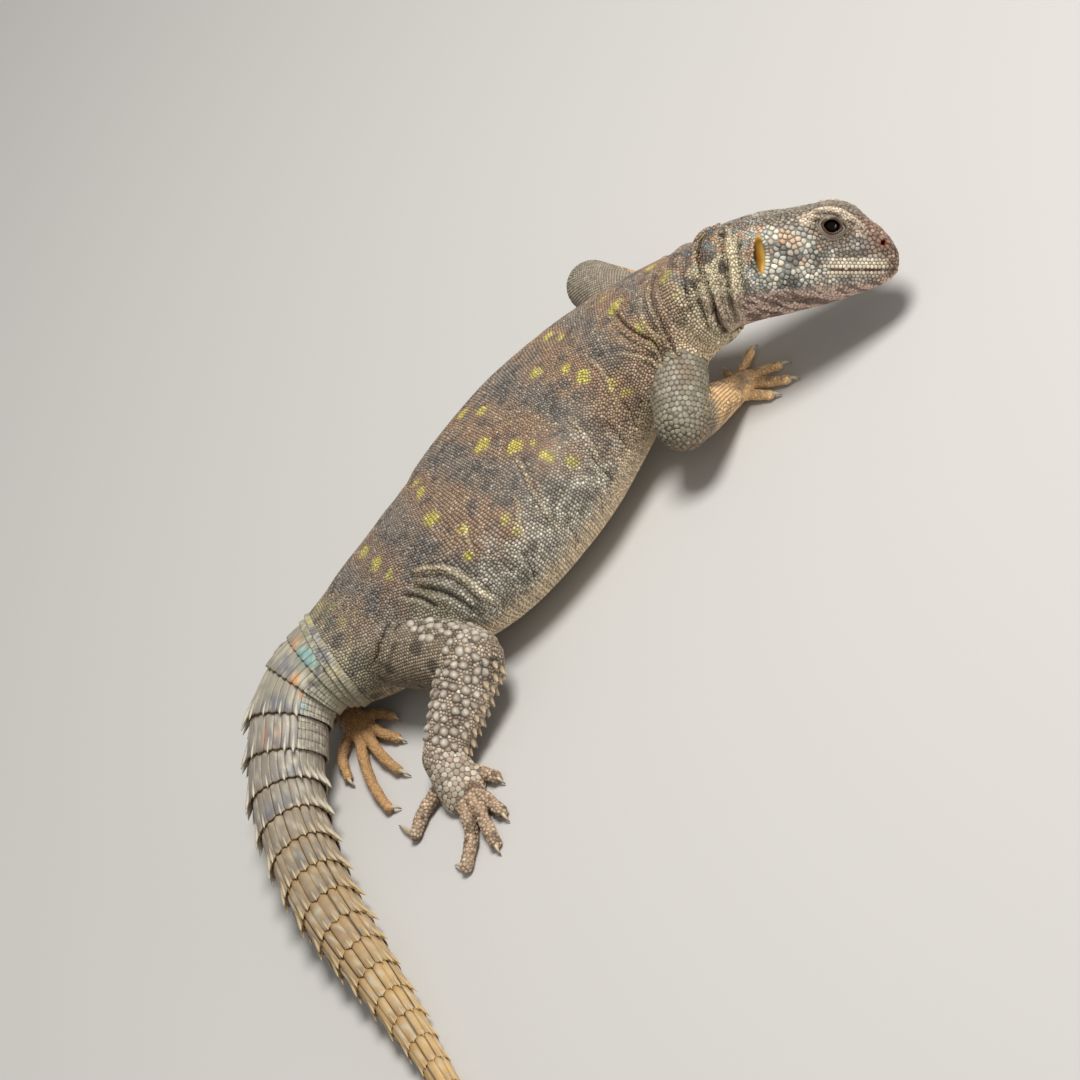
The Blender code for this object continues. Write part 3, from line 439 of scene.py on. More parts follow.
def tube_rings(points, radii, sides, rings, pointed=False):
    """Round sections along a smooth path through the points, with rounded ends unless pointed."""
    points, radii = np.array(points, float), np.array(radii, float)
    knots = np.concatenate([[0.0], np.cumsum(np.linalg.norm(np.diff(points, axis=0), axis=1))])
    at = np.linspace(0.0, knots[-1], rings)
    path = smooth(knots, points, at)
    radius = np.maximum(smooth(knots, radii[:, None], at)[:, 0], 0.08)
    forward = unit(np.gradient(path, at, axis=0))
    left = unit(np.cross([0.0, 0.0, 1.0], forward))
    around = spokes(left, np.cross(forward, left), circle(sides))
    body = path[:, None] + around * radius[:, None, None]

    def dome(end, sign):
        return np.array([
            path[end] + sign * forward[end] * radius[end] * math.sin(a) * 0.9
            + around[end] * radius[end] * math.cos(a)
            for a in np.radians([20.0, 42.0, 64.0, 80.0])
        ])

    parts = [dome(0, -1.0)[::-1], body]
    if not pointed:
        parts.append(dome(-1, 1.0))
    return np.concatenate(parts)


def clamp(points, lowest=LOWEST):
    """Raises what lies lower than this to it, so that nothing sinks into the floor."""
    points[..., 2] = np.maximum(points[..., 2], lowest)
    return points


def link(obj):
    bpy.context.scene.collection.objects.link(obj)
    return obj


def mesh_of(name, verts, faces):
    """A mesh object from millimetre points and faces, which all have the same number of corners."""
    verts, faces = to_world(verts), np.asarray(faces, np.int32)
    mesh = bpy.data.meshes.new(name)
    mesh.vertices.add(len(verts))
    mesh.vertices.foreach_set("co", verts.astype(np.float32).ravel())
    mesh.loops.add(faces.size)
    mesh.loops.foreach_set("vertex_index", faces.ravel())
    mesh.polygons.add(len(faces))
    mesh.polygons.foreach_set("loop_start", np.arange(len(faces), dtype=np.int32) * faces.shape[1])
    mesh.update(calc_edges=True)
    mesh.validate()
    mesh.shade_smooth()
    return link(bpy.data.objects.new(name, mesh))


def grid_faces(rows, columns):
    """Quads between neighbouring rows of points, and between their last and first column."""
    i, j = (grid.ravel() for grid in np.meshgrid(np.arange(rows - 1), np.arange(columns), indexing="ij"))
    k = (j + 1) % columns
    return np.stack([i * columns + j, i * columns + k, (i + 1) * columns + k, (i + 1) * columns + j], 1)


def halved(quads):
    """Two triangles for each quad."""
    return np.concatenate([quads[:, [0, 1, 2]], quads[:, [0, 2, 3]]])


def capped(rings):
    """Points and triangles of a closed tube through these rings, its ends fans about their middles."""
    count, sides = rings.shape[:2]
    verts = np.concatenate([rings.reshape(-1, 3), rings[0].mean(0)[None], rings[-1].mean(0)[None]])
    around = np.arange(sides)
    after, last = (around + 1) % sides, (count - 1) * sides
    first = np.stack([np.full(sides, count * sides), after, around], 1)
    final = np.stack([np.full(sides, count * sides + 1), last + around, last + after], 1)
    return verts, np.concatenate([halved(grid_faces(count, sides)), first, final])


def solid(name, rings):
    """A closed tube as an object with its faces turned outwards."""
    obj = mesh_of(name, *capped(np.asarray(rings, float)))
    shaped = bmesh.new()
    shaped.from_mesh(obj.data)
    bmesh.ops.recalc_face_normals(shaped, faces=shaped.faces[:])
    shaped.to_mesh(obj.data)
    shaped.free()
    return obj


def ball_rings(middle, radius):
    """Latitude rings of a sphere: middle + radius * (sin a cos b, sin a sin b, cos a)."""
    a = np.linspace(0.12, math.pi - 0.12, 14)[:, None]
    b = circle(24)[None]
    around = np.stack([np.sin(a) * np.cos(b), np.sin(a) * np.sin(b), np.cos(a) + 0 * b], 2)
    return middle + radius * around


def boolean(target, operation, others):
    """One Boolean of the target with a group of closed meshes, applied; the others are removed."""
    group = bpy.data.collections.new("operands")
    bpy.context.scene.collection.children.link(group)
    for other in others:
        bpy.context.scene.collection.objects.unlink(other)
        group.objects.link(other)
    modifier = target.modifiers.new("join", "BOOLEAN")
    modifier.operation, modifier.operand_type = operation, "COLLECTION"
    modifier.collection, modifier.solver = group, "EXACT"
    apply_modifiers(target)
    for other in others:
        bpy.data.objects.remove(other, do_unlink=True)
    bpy.data.collections.remove(group)


def apply_modifiers(obj):
    """Puts the mesh that the modifiers give in place of the old one."""
    graph = bpy.context.evaluated_depsgraph_get()
    mesh = bpy.data.meshes.new_from_object(obj.evaluated_get(graph))
    obj.modifiers.clear()
    old, obj.data = obj.data, mesh
    bpy.data.meshes.remove(old)


def mouth_line(x):
    """Height of the mouth's line, which falls evenly by MOUTH_RISE from its corner to its front."""
    return MOUTH_HEIGHT + MOUTH_RISE * (1 - (x - MOUTH_CORNER) / (MOUTH_FRONT - MOUTH_CORNER))


def mouth_band(inset):
    """The head's outline at the mouth's height, from the right corner round the snout to the left."""
    x = MOUTH_CORNER + (MOUTH_FRONT - MOUTH_CORNER) * np.sin(np.linspace(0.0, math.pi / 2, 17))
    half = smooth(HEAD[:, 0], HEAD, x)[:, 4] - 0.25 - inset
    half[-1] = 0.8 * half[-1]
    x = x + np.linspace(0.0, 1.0, len(x)) ** 3 * (0.75 - 0.6 * inset)
    right = np.stack([x, -half, mouth_line(x)], axis=1)
    return np.concatenate([right, right[::-1] * [1.0, -1.0, 1.0]])


def crease_shade(points, paths):
    """Brightness of the creases: dark in valleys, a little brighter on ridges."""
    shade = np.ones(len(points))
    for depth, half, path in paths:
        near, apart, fade = near_path(points, path, 3 * half)
        strength = 0.42 * depth * min(1.0, 0.7 / half) if depth > 0 else 0.8 * depth
        shade[near] *= 1 - np.clip(strength, -0.42, 0.92) * (bell(apart, 0, 0.9 * half) * fade)
    return shade


def ridge_lines(points, paths):
    """How far each point lies on the crest of a raised fold: a bell curve of its distance from the path."""
    share = np.zeros(len(points))
    for depth, half, path in paths:
        if depth < 0:
            near, apart, fade = near_path(points, path, 3 * half)
            crest = bell(apart, 0, 0.8 * half + 0.18) * fade * min(1.0, -1.6 * depth)
            share[near] = np.maximum(share[near], crest)
    return share


def eye_axes():
    """The eye's outward, forward and upward directions in the head's frame, for the left side."""
    outward = unit(np.array(EYE_FACING))
    along = unit(np.cross(outward, [0.0, 0.0, 1.0]))
    high = np.cross(along, outward)
    tilt = math.radians(EYE_TILT)
    return outward, *turned(along, high, math.cos(tilt), math.sin(tilt))


def eye_shape(angle, size):
    """A point of the almond round the eye: its corners sharper than an ellipse's."""
    outward, along, high = eye_axes()
    flat = EYE_OPENING[0] * (1.12 * size - 0.12) * np.cos(angle)
    tall = EYE_OPENING[1] * size * np.sin(angle) * (1 - 0.22 * np.cos(angle) ** 2)
    depth = np.sqrt(np.maximum((EYE_RADIUS + 0.9) ** 2 - flat**2 - tall**2, 0.2))
    return EYE + outward * depth[:, None] + along * flat[:, None] + high * tall[:, None]


def head_shape():
    """The head before its scales: skull, lids and brows joined, with eyes, ears, nostrils and mouth cut."""
    share = np.sin(np.linspace(0.0, math.pi / 2, 46))
    stations = HEAD_BACK - GAP_TO_NECK + (HEAD[-1, 0] - HEAD_BACK + GAP_TO_NECK) * share
    sections = head_sections(stations, 64, -SKIN_SINK)
    tip = sections[-1] * [1.0, 0.55, 0.55] + [0.3, 0.0, 0.2]
    head = solid("head_shape", head_to_body(np.concatenate([sections, tip[None]])))
    joined, cut = [], []
    outward, along, high = eye_axes()
    angle = circle(28)
    sine, cosine = np.sin(angle), np.cos(angle)
    opening = [
        EYE + outward * depth + along * (EYE_OPENING[0] * size * cosine)[:, None]
        + high * (EYE_OPENING[1] * size * sine)[:, None]
        for depth, size in ((0.0, 0.8), (EYE_RADIUS, 1.0), (EYE_RADIUS + 2.5, 1.3))
    ]
    ear = [
        EAR + [0.0, depth, 0.0] + np.stack([
            EAR_HALF_WIDTH * size * cosine - EAR_LEAN * EAR_HALF_HEIGHT * sine, 0 * angle,
            EAR_HALF_HEIGHT * size * sine,
        ], axis=1)
        for depth, size in ((-EAR_DEPTH, 0.6), (-0.6 * EAR_DEPTH, 1.0), (EAR_DEPTH, 1.1))
    ]
    nostril = (NOSTRIL - [0.5, 1.4, 0.3], NOSTRIL + [0.6, 1.6, 0.4])
    for side in (1, -1):
        eye = placed(EYE, side)
        joined.append(solid("lids", ball_rings(eye, EYE_RADIUS + 0.15 + LID_THICKNESS)))
        ridge = placed(np.array(BROW)[:, :3], side)
        joined.append(solid("brow", tube_rings(ridge, [point[3] - 0.1 for point in BROW], 16, 16)))
        cut.append(solid("socket", ball_rings(eye, EYE_RADIUS + 0.1)))
        cut.append(solid("opening", placed(opening, side)))
        cut.append(solid("ear", placed(ear, side)))
        cut.append(solid("nostril", tube_rings(placed(nostril, side), (0.66, 0.86), 12, 2)))
    inner, outer = mouth_band(MOUTH_DEPTH), mouth_band(-1.4)
    half = np.array([0.0, 0.0, 0.8 * MOUTH_WIDTH])
    cut.append(solid("mouth", head_to_body(np.stack([inner, outer - half, outer + half], axis=1))))
    boolean(head, "UNION", joined)
    boolean(head, "DIFFERENCE", cut)
    return head


def trunk_shape():
    """Neck, trunk and tail as one tube from inside the head to the tail's tip."""
    sides = 72
    lengths = np.concatenate([
        np.arange(body_length(NECK_START), TAIL_LENGTH, 0.8), np.arange(TAIL_LENGTH, BODY_KNOTS[-1], 0.9)
    ])
    on_tail = ease(TAIL_LENGTH - 1.0, TAIL_LENGTH + 1.0, lengths)
    rings = body_rings(lengths, circle(sides), -SKIN_SINK * (1 - on_tail), 1 - (1 - TAIL_SKIN) * on_tail)
    start = head_to_body(head_sections([-4.0, HEAD_BACK - GAP_TO_NECK], sides, -SKIN_SINK))
    part = np.linspace(0, 1, 8)[1:-1, None, None]
    between = start[-1][None] * (1 - part) + rings[0][None] * part
    return solid("trunk_shape", np.concatenate([start, between, rings]))


def limb_tube(joints, grow, sides=40, rings=26):
    """A tube from joint to joint, whose radius half way is 1.04 of the mean of both."""
    start, end = np.array(joints[0]), np.array(joints[1])
    middle = (start + end) / 2
    middle[3] *= 1.04
    points = np.stack([start, middle, end])
    return clamp(tube_rings(points[:, :3], points[:, 3] + grow, sides, rings))


def palm_rings(joint, toes, radius, sides=36, grow=0.0):
    """A tube from wrist or ankle to the middle of the toes' roots, pressed flat towards that end."""
    roots = np.array([toe[0] for toe in toes])
    middle = np.array([*roots.mean(axis=0), PALM_HALF_HEIGHT])
    wide = 0.5 * np.linalg.norm(roots[0] - roots[-1]) + PALM_MARGIN * radius
    start = np.array(joint[:3])
    points = (start, start * 0.45 + middle * 0.55, middle)
    rings = tube_rings(points, np.array([joint[3], 0.94 * wide, wide]) + grow, sides, 20)
    centre = rings.mean(axis=1, keepdims=True)
    flattest = PALM_HALF_HEIGHT / wide
    flat = np.concatenate([np.ones(4), np.linspace(1.0, flattest, 20), np.full(4, flattest)])
    rings[..., 2] = centre[..., 2] + (rings[..., 2] - centre[..., 2]) * flat[:, None]
    return clamp(rings)


def toe_points(toe, radius):
    """A toe's path from root to claw and its radii, both falling evenly."""
    height = np.linspace(TOE_ROOT_HEIGHT, radius + 0.1, len(toe) - 1)
    points = np.array([(x, y, z) for (x, y), z in zip(toe[:-1], height)])
    return points, np.linspace(1.15, 0.95, len(points)) * radius


def limb_shapes():
    """Both lengths of every leg, its hand or foot, and toes with 1 + 0.05 * cos knuckles."""
    shapes = []
    for name, joints in LEGS.items():
        shapes.append(limb_tube(joints[:2], -SKIN_SINK))
        shapes.append(limb_tube(joints[1:], -SKIN_SINK))
        shapes.append(palm_rings(joints[2], TOES[name], TOE_RADIUS[name], grow=-0.2))
        for toe in TOES[name]:
            points, radii = toe_points(toe, TOE_RADIUS[name])
            knuckles = 1 + 0.05 * np.cos(np.linspace(0, 2 * math.pi * len(points), 24))
            rings = tube_rings(points, radii - 0.18, 20, 24)
            middle = rings[4:28].mean(axis=1, keepdims=True)
            rings[4:28] = middle + (rings[4:28] - middle) * knuckles[:, None, None]
            shapes.append(clamp(rings))
    return [solid("limb_shape", rings) for rings in shapes]


def read(obj):
    """A mesh object's points in the body frame's millimetres, its normals and its triangles."""
    mesh = obj.data
    points = np.empty(len(mesh.vertices) * 3, np.float32)
    mesh.vertices.foreach_get("co", points)
    normals = np.empty(len(mesh.vertices) * 3, np.float32)
    mesh.vertices.foreach_get("normal", normals)
    mesh.calc_loop_triangles()
    triangles = np.empty(len(mesh.loop_triangles) * 3, np.int32)
    mesh.loop_triangles.foreach_get("vertices", triangles)
    points = points.reshape(-1, 3).astype(float) / MM - FRAME_SHIFT
    return points, normals.reshape(-1, 3).astype(float), triangles.reshape(-1, 3)


def move(obj, points):
    """Puts an object's points at new places in the body frame."""
    obj.data.vertices.foreach_set("co", to_world(points).astype(np.float32).ravel())
    obj.data.update()


def tree_of(points):
    """A tree that finds the nearest of these points."""
    tree = kdtree.KDTree(len(points))
    for i, point in enumerate(points):
        tree.insert(point, i)
    tree.balance()
    return tree


def surface_of(points, triangles):
    """A tree that finds the nearest place on these triangles."""
    return BVHTree.FromPolygons(points.tolist(), triangles.tolist())


def laid_on(tree, points):
    """The place on the surface nearest to each point."""
    return np.array([tuple(tree.find_nearest(Vector(point))[0]) for point in points])


def cone_distance(points, start, end):
    """Distance in mm from points to a tapering tube between two joints, and their share along it."""
    start, end = np.array(start), np.array(end)
    line = end[:3] - start[:3]
    t = np.clip((points - start[:3]) @ line / (line @ line), 0, 1)
    radius = start[3] + (end[3] - start[3]) * t
    return np.linalg.norm(points - start[:3] - t[:, None] * line, axis=1) - radius, t


def trunk_distance(points):
    """Distance in mm from points to the nearest one of a grid over neck, trunk and tail."""
    lengths, turn = np.linspace(0.0, BODY_KNOTS[-1], 420), np.radians(np.arange(-180, 180, 5.0))
    tree = tree_of(body_rings(lengths, turn).reshape(-1, 3))
    return np.array([tree.find(point)[2] for point in points])


def smooth_junctions(obj):
    """Relaxes the skin where a limb meets the trunk, so that it flows over in a soft hollow."""
    points, _, _ = read(obj)
    weight = np.zeros(len(points))
    for joints in LEGS.values():
        limb, t = cone_distance(points, joints[0], joints[1])
        near = np.flatnonzero((np.abs(limb) < 4.0) & (t < 0.98))
        soft = np.clip(1.5 - (np.abs(limb[near]) + trunk_distance(points[near])) / 3.2, 0, 1)
        weight[near] = np.maximum(weight[near], soft)
        shin, _ = cone_distance(points, joints[1], joints[2])
        weight = np.maximum(weight, 0.8 * np.clip(1.3 - (np.abs(limb) + np.abs(shin)) / 1.6, 0, 1))
    x = body_to_head(points)[:, 0]
    weight = np.maximum(weight, 0.7 * np.clip(1.5 - np.abs(x + 6.0) / 2.0, 0, 1) * (x > -12))
    group = obj.vertex_groups.new(name="soft")
    levels = np.round(weight * 8).astype(int)
    for level in range(1, 9):
        group.add(np.flatnonzero(levels == level).tolist(), level / 8, "REPLACE")
    modifier = obj.modifiers.new("soft", "SMOOTH")
    modifier.factor, modifier.iterations, modifier.vertex_group = 0.5, 90, "soft"
    modifier = obj.modifiers.new("even", "SMOOTH")
    modifier.factor, modifier.iterations = 0.5, 2
    apply_modifiers(obj)
    obj.vertex_groups.clear()


def crease_paths(tree):
    """Every crease's depth, half width and path: a smooth curve through its points, laid on the skin."""
    paths = []

    def lay(depth, half, points):
        found = [tree.find_nearest(Vector(point), 5.0)[0] for point in points]
        paths.append((depth, half, np.array([tuple(point) for point in found if point is not None])))

    for depth, half, places in CREASES:
        line = curve(places, 12 * len(places))
        lay(depth, half, [
            body_rings([length], np.radians([turn]), -SKIN_SINK)[0, 0] for length, turn in line
        ])
    for depth, half, places in HEAD_CREASES:
        for side in (1, -1):
            lay(depth, half, placed(curve(places, 10 * len(places)), side))
    return paths


def near_path(points, path, reach):
    """Which points lie near a path, how far from it, and a share that falls to 0.15 at the path's ends."""
    near = np.flatnonzero(np.all((points > path.min(0) - reach) & (points < path.max(0) + reach), axis=1))
    if not len(near):
        return near, np.zeros(0), np.zeros(0)
    apart = np.linalg.norm(points[near][:, None] - path[None], axis=2)
    along = apart.argmin(1) / (len(path) - 1)
    return near, apart.min(1), np.clip(np.minimum(along, 1 - along) * 6 + 0.15, 0, 1)


def crease(obj, paths):
    """Sinks the creases: a bell-shaped valley with a low roll of skin on each side, fading at its ends."""
    points, normals, _ = read(obj)
    shift = np.zeros(len(points))
    for depth, half, path in paths:
        near, apart, fade = near_path(points, path, 4 * half)
        valley = bell(apart, 0, half) - 0.35 * bell(apart, 1.9 * half, half)
        shift[near] -= depth * valley * fade
    move(obj, points + normals * np.clip(shift, -2.6, 1.3)[:, None])


def make_skin():
    """The whole skin as one closed surface: shapes fused by a fine remesh, relaxed, creased and thinned."""
    shapes = [head_shape(), trunk_shape(), *limb_shapes()]
    parts = [read(shape) for shape in shapes]
    for shape in shapes:
        bpy.data.objects.remove(shape, do_unlink=True)
    starts = np.cumsum([0] + [len(points) for points, _, _ in parts])
    skin = mesh_of(
        "skin", np.concatenate([points for points, _, _ in parts]),
        np.concatenate([faces + start for (_, _, faces), start in zip(parts, starts)]),
    )
    modifier = skin.modifiers.new("fuse", "REMESH")
    modifier.mode, modifier.voxel_size, modifier.use_smooth_shade = "VOXEL", VOXEL * MM, True
    apply_modifiers(skin)
    smooth_junctions(skin)
    points, _, triangles = read(skin)
    paths = crease_paths(surface_of(points, triangles))
    crease(skin, paths)
    modifier = skin.modifiers.new("thin", "DECIMATE")
    modifier.ratio = min(1.0, SKIN_TRIANGLES / (2 * len(skin.data.polygons)))
    apply_modifiers(skin)
    skin.name = skin.data.name = "skin"
    skin.data.shade_smooth()
    points, _, triangles = read(skin)
    tree = surface_of(points, triangles)
    return skin, [(depth, half, laid_on(tree, path)) for depth, half, path in paths]


# Places on the animal, for spacing, direction and colour.

REGIONS = ("trunk", "head", "upper_arm", "forearm", "hand", "thigh", "shank", "foot")


class Places:
    """Samples over every part of the skin, each with its region, two coordinates, its side and its lie."""

    def __init__(self):
        self.parts = []
        lengths = np.linspace(body_length(NECK_START), BODY_KNOTS[-1], 420)
        degrees = np.arange(-180, 180, 4.0)
        self.add("trunk", body_rings(lengths, np.radians(degrees)), lengths, 0, degrees)
        stations = np.linspace(-10.0, HEAD[-1, 0], 64)
        sections = head_sections(np.clip(stations, -7.5, None), 64)
        sections[..., 0] = stations[:, None]
        self.add("head", head_to_body(sections)[::-1], stations[::-1], 0)
        for name, joints in LEGS.items():
            side = 1 if name.endswith("left") else -1
            upper, lower, end = REGIONS[2:5] if "arm" in name else REGIONS[5:]
            for region, rings in (
                (upper, limb_tube(joints[:2], 0, 24, 22)), (lower, limb_tube(joints[1:], 0, 24, 22)),
                (end, palm_rings(joints[2], TOES[name], TOE_RADIUS[name], 24)),
            ):
                self.add(region, rings, np.linspace(0, 1, len(rings)), side)
            for toe in TOES[name]:
                rings = clamp(tube_rings(*toe_points(toe, TOE_RADIUS[name]), 12, 14))
                self.add(end, rings, 1 + np.linspace(0, 1, len(rings)), side)
        points, *values = (np.concatenate(part) for part in zip(*self.parts))
        self.tree = tree_of(points)
        self.values = dict(zip(("region", "first", "second", "side", "lie"), values))

    def add(self, region, grid, first, side, second=None):
        """Adds a grid of points: first goes by its rows, second, in degrees, by its columns."""
        rows, columns = grid.shape[:2]
        second = np.arange(columns) * 360.0 / columns if second is None else second
        self.parts.append((
            grid.reshape(-1, 3), np.full(rows * columns, REGIONS.index(region)), np.repeat(first, columns),
            np.tile(second, rows), np.full(rows * columns, side),
            unit(np.gradient(grid, axis=0)).reshape(-1, 3),
        ))

    def find(self, points):
        index = np.array([self.tree.find(point)[1] for point in points], int)
        return {name: values[index] for name, values in self.values.items()}


def is_in(where, *names):
    """Which places lie in one of these regions."""
    return np.isin(where["region"], [REGIONS.index(name) for name in names])


def about_zero(degrees):
    """Degrees turned into -180 to 180."""
    return (degrees + 180.0) % 360.0 - 180.0


def degrees_round(where):
    """Degrees from the middle of the back, positive to the right."""
    return about_zero(where["second"])


# Spacing of scales

def spacing_at(points, where):
    """Distance in mm between neighbouring scales."""
    head = left_half(body_to_head(points))
    x, wide, z = head.T
    trunk, left, first = is_in(where, "trunk"), where["side"] > 0, where["first"]
    size = np.full(len(points), 0.78)
    for chosen, gap in (
        (trunk & (np.abs(degrees_round(where)) > 140), 1.05),
        (trunk & (first < 5), 0.60),
        (is_in(where, "upper_arm"), np.where(left, 0.85, 1.36)),
        (is_in(where, "forearm"), np.where(left, 0.85, 1.28 - 0.5 * ease(0.1, 0.4, first))),
        (is_in(where, "hand"), 0.62),
        (is_in(where, "thigh", "shank"), 0.80),
        (is_in(where, "foot"), np.where(left, 0.56, np.where(first < 1, 1.25, 0.88))),
    ):
        size = np.where(chosen, gap, size)
    cheek = ease(2, 4, x) * (1 - ease(12.5, 15.5, x)) * ease(6, 8.5, wide) * ease(-3.5, -0.5, z)
    cheek = cheek * (1 - ease(9, 10.5, z))
    own = 0.80 + 0.42 * cheek * (0.6 + 0.8 * noise(points, 2.6, 61))
    for chosen, gap in (
        ((z > 10.5) & (x > 4), 0.85),
        ((x > 22.5) & (z > 1.6), 1.0),
        (z < -4.2 - 0.18 * np.clip(8 - x, 0, 8), 0.62),
        (x < 0.0, 0.52),
        (np.linalg.norm(head - EYE, axis=1) < EYE_RADIUS + 1.9, 0.60),
        (on_brow(head) > 0.5, 0.62),
    ):
        own = np.where(chosen, gap, own)
    return np.where(is_in(where, "head"), own, size)


def on_brow(head):
    """1 on the ridge above the eye and 0 away from it."""
    path = curve(np.array(BROW)[:, :3], 24)
    apart = np.min(np.linalg.norm(head[:, None] - path[None], axis=2), axis=1)
    return 1 - ease(1.5, 2.1, apart)


def round_the_eye(head):
    """Size of the almond through a point of the head, as a share of the eye's opening, and its depth."""
    outward, along, high = eye_axes()
    from_eye = head - EYE
    flat, tall = from_eye @ along / EYE_OPENING[0], from_eye @ high / EYE_OPENING[1]
    turn = np.arctan2(tall, flat)
    return np.hypot(flat, tall / (1 - 0.22 * np.cos(turn) ** 2)), from_eye @ outward


def bare(points, where):
    """Places that carry no scale: inside the ear, nostril and mouth, and on the eyelids."""
    head = left_half(body_to_head(points))
    ear = (head - EAR) / [EAR_HALF_WIDTH + 0.15, 99, EAR_HALF_HEIGHT + 0.15]
    ear[:, 0] += EAR_LEAN * EAR_HALF_HEIGHT * ear[:, 2] / EAR_HALF_WIDTH
    in_ear = (ear[:, 0] ** 2 + ear[:, 2] ** 2 < 1) & (head[:, 1] > 5)
    in_nose = np.linalg.norm((head - NOSTRIL) * [1, 0.3, 1], axis=1) < NOSTRIL_RADIUS + 0.28
    in_mouth = (np.abs(head[:, 2] - mouth_line(head[:, 0])) < 0.40) & (head[:, 0] > MOUTH_CORNER - 0.6)
    size, depth = round_the_eye(head)
    in_eye = (size < 2.12) & (depth > 0.8) & (np.linalg.norm(head - EYE, axis=1) < EYE_RADIUS + 1.25)
    in_eye &= on_brow(head) < 0.9
    return is_in(where, "head") & (in_ear | in_nose | in_mouth | in_eye)


def ring_rows(rings, spacing):
    """Points along each ring at even steps from its first point, every other ring shifted by half a step."""
    points = []
    for number, ring in enumerate(rings):
        closed = np.concatenate([ring, ring[:1]])
        steps = np.linalg.norm(np.diff(closed, axis=0), axis=1) / spacing
        count = np.concatenate([[0.0], np.cumsum(steps)])
        shift = 0.5 * (number % 2)
        half = count[-1] / 2
        wanted = np.arange(-math.floor(half - shift - 0.3), math.floor(half - 0.3) + 1) + shift
        wanted = np.where(wanted < 0, wanted + count[-1], wanted)
        points.append(np.stack([np.interp(wanted, count, closed[:, k]) for k in range(3)], 1))
    return np.concatenate(points)


def row_points():
    """Seeds of the scales that lie in rows: along the lips and before the ear, round trunk and limbs."""
    lengths = np.arange(body_length(NECK_START) + 0.4, TAIL_LENGTH - 3.3, TRUNK_ROW)
    turn = np.arange(0, 360, 2.5)
    across = np.where(np.minimum(turn, 360 - turn) > 140, 1.05, 0.80)
    trunk = ring_rows(body_rings(lengths, np.radians(turn), -SKIN_SINK), across)
    trunk = trunk + RANDOM.normal(0, 0.09, trunk.shape)
    limbs = []
    for name, joints in LEGS.items():
        upper = {"arm_right": 1.36, "arm_left": 0.85}.get(name, 0.80)
        for pair, gap in ((joints[:2], upper), (joints[1:], 0.85 if "arm" in name else 0.80)):
            rings = limb_tube(pair, -SKIN_SINK, 48, 200)
            steps = np.linalg.norm(np.diff(rings.mean(axis=1), axis=0), axis=1)
            length = np.concatenate([[0], np.cumsum(steps)])
            wanted = np.arange(0, length[-1], (0.98 if name == "arm_right" else 0.88) * gap)
            rings = rings[np.searchsorted(length, wanted).clip(0, len(rings) - 1)]
            limbs.append(ring_rows(rings[1:-1], gap))
    head = []
    for side in (1, -1):
        for height in (0.85, 1.65, 2.4, -0.8, -1.6):
            x = np.arange(MOUTH_CORNER - 1.0, MOUTH_FRONT + 0.6, 0.9)
            x = x + (0.45 if height in (1.65, -1.6) else 0)
            row = smooth(HEAD[:, 0], HEAD, np.clip(x, None, HEAD[-1, 0]))
            head.append(head_to_body(np.stack([x, side * row[:, 4], mouth_line(x) + height], 1)))
        z = np.arange(-EAR_HALF_HEIGHT + 0.4, EAR_HALF_HEIGHT, 0.85)
        bead = EAR[0] + (EAR_HALF_WIDTH + 0.5) * np.sqrt(1 - (z / (EAR_HALF_HEIGHT + 1)) ** 2) - EAR_LEAN * z
        head.append(placed(np.stack([bead, np.full(len(z), 12.6), EAR[2] + z], 1), side))
    return np.concatenate(head), trunk, np.concatenate(limbs)


def snap(tree, points, reach):
    """Moves points onto the skin, and says which of them were within reach of it."""
    found = [tree.find_nearest(Vector(point), reach)[0] for point in points]
    kept = np.array([i for i, hit in enumerate(found) if hit is not None], int)
    return np.array([tuple(found[i]) for i in kept]), kept


class Packing:
    """Keeps points that stand far enough from every point kept before them."""

    AROUND = [(a, b, c) for a in (-1, 0, 1) for b in (-1, 0, 1) for c in (-1, 0, 1)]

    def __init__(self, cell):
        self.cell, self.boxes, self.points = cell, {}, []

    def free(self, point, gap, box):
        x, y, z = point
        i, j, k = box
        for a, b, c in self.AROUND:
            for p, q, r, other in self.boxes.get((i + a, j + b, k + c), ()):
                near = 0.5 * (gap + other)
                if (p - x) ** 2 + (q - y) ** 2 + (r - z) ** 2 < near * near:
                    return False
        return True

    def take(self, points, gaps):
        """Keeps the points that are free, one after the other, and says which they were."""
        kept = []
        boxes = np.floor(points / self.cell).astype(int).tolist()
        for number, (point, gap, box) in enumerate(zip(points.tolist(), gaps.tolist(), boxes)):
            if self.free(point, gap, box):
                self.boxes.setdefault(tuple(box), []).append((*point, gap))
                self.points.append(point)
                kept.append(number)
        return kept


def on_triangles(points, triangles, count):
    """Random points over a mesh, evenly by area."""
    corner = points[triangles]
    area = np.linalg.norm(np.cross(corner[:, 1] - corner[:, 0], corner[:, 2] - corner[:, 0]), axis=1)
    picked = RANDOM.choice(len(area), count, p=area / area.sum())
    a, b = RANDOM.random(count), RANDOM.random(count)
    flip = a + b > 1
    a, b = np.where(flip, 1 - a, a), np.where(flip, 1 - b, b)
    return (corner[picked] * np.stack([1 - a - b, a, b], 1)[:, :, None]).sum(1)


def scale_seeds(points, triangles, places):
    """Every scale's root on the skin: rows first, then random ones wherever there is still room."""
    tree = surface_of(points, triangles)
    packing = Packing(1.4)

    def take(roots, share, last):
        where = places.find(roots)
        free = ~bare(roots, where) & (roots[:, 2] > 0.25)
        free &= ~(is_in(where, "trunk") & (where["first"] > last))
        packing.take(roots[free], (share * spacing_at(roots, where))[free])

    for rows, reach in zip(row_points(), (1.6, 1.0, 0.8)):
        take(snap(tree, rows, reach)[0], 0.70, math.inf)
    take(on_triangles(points, triangles, LOOSE_SEEDS), 0.86, TAIL_LENGTH - 3.2)
    return np.array(packing.points)


# Colours

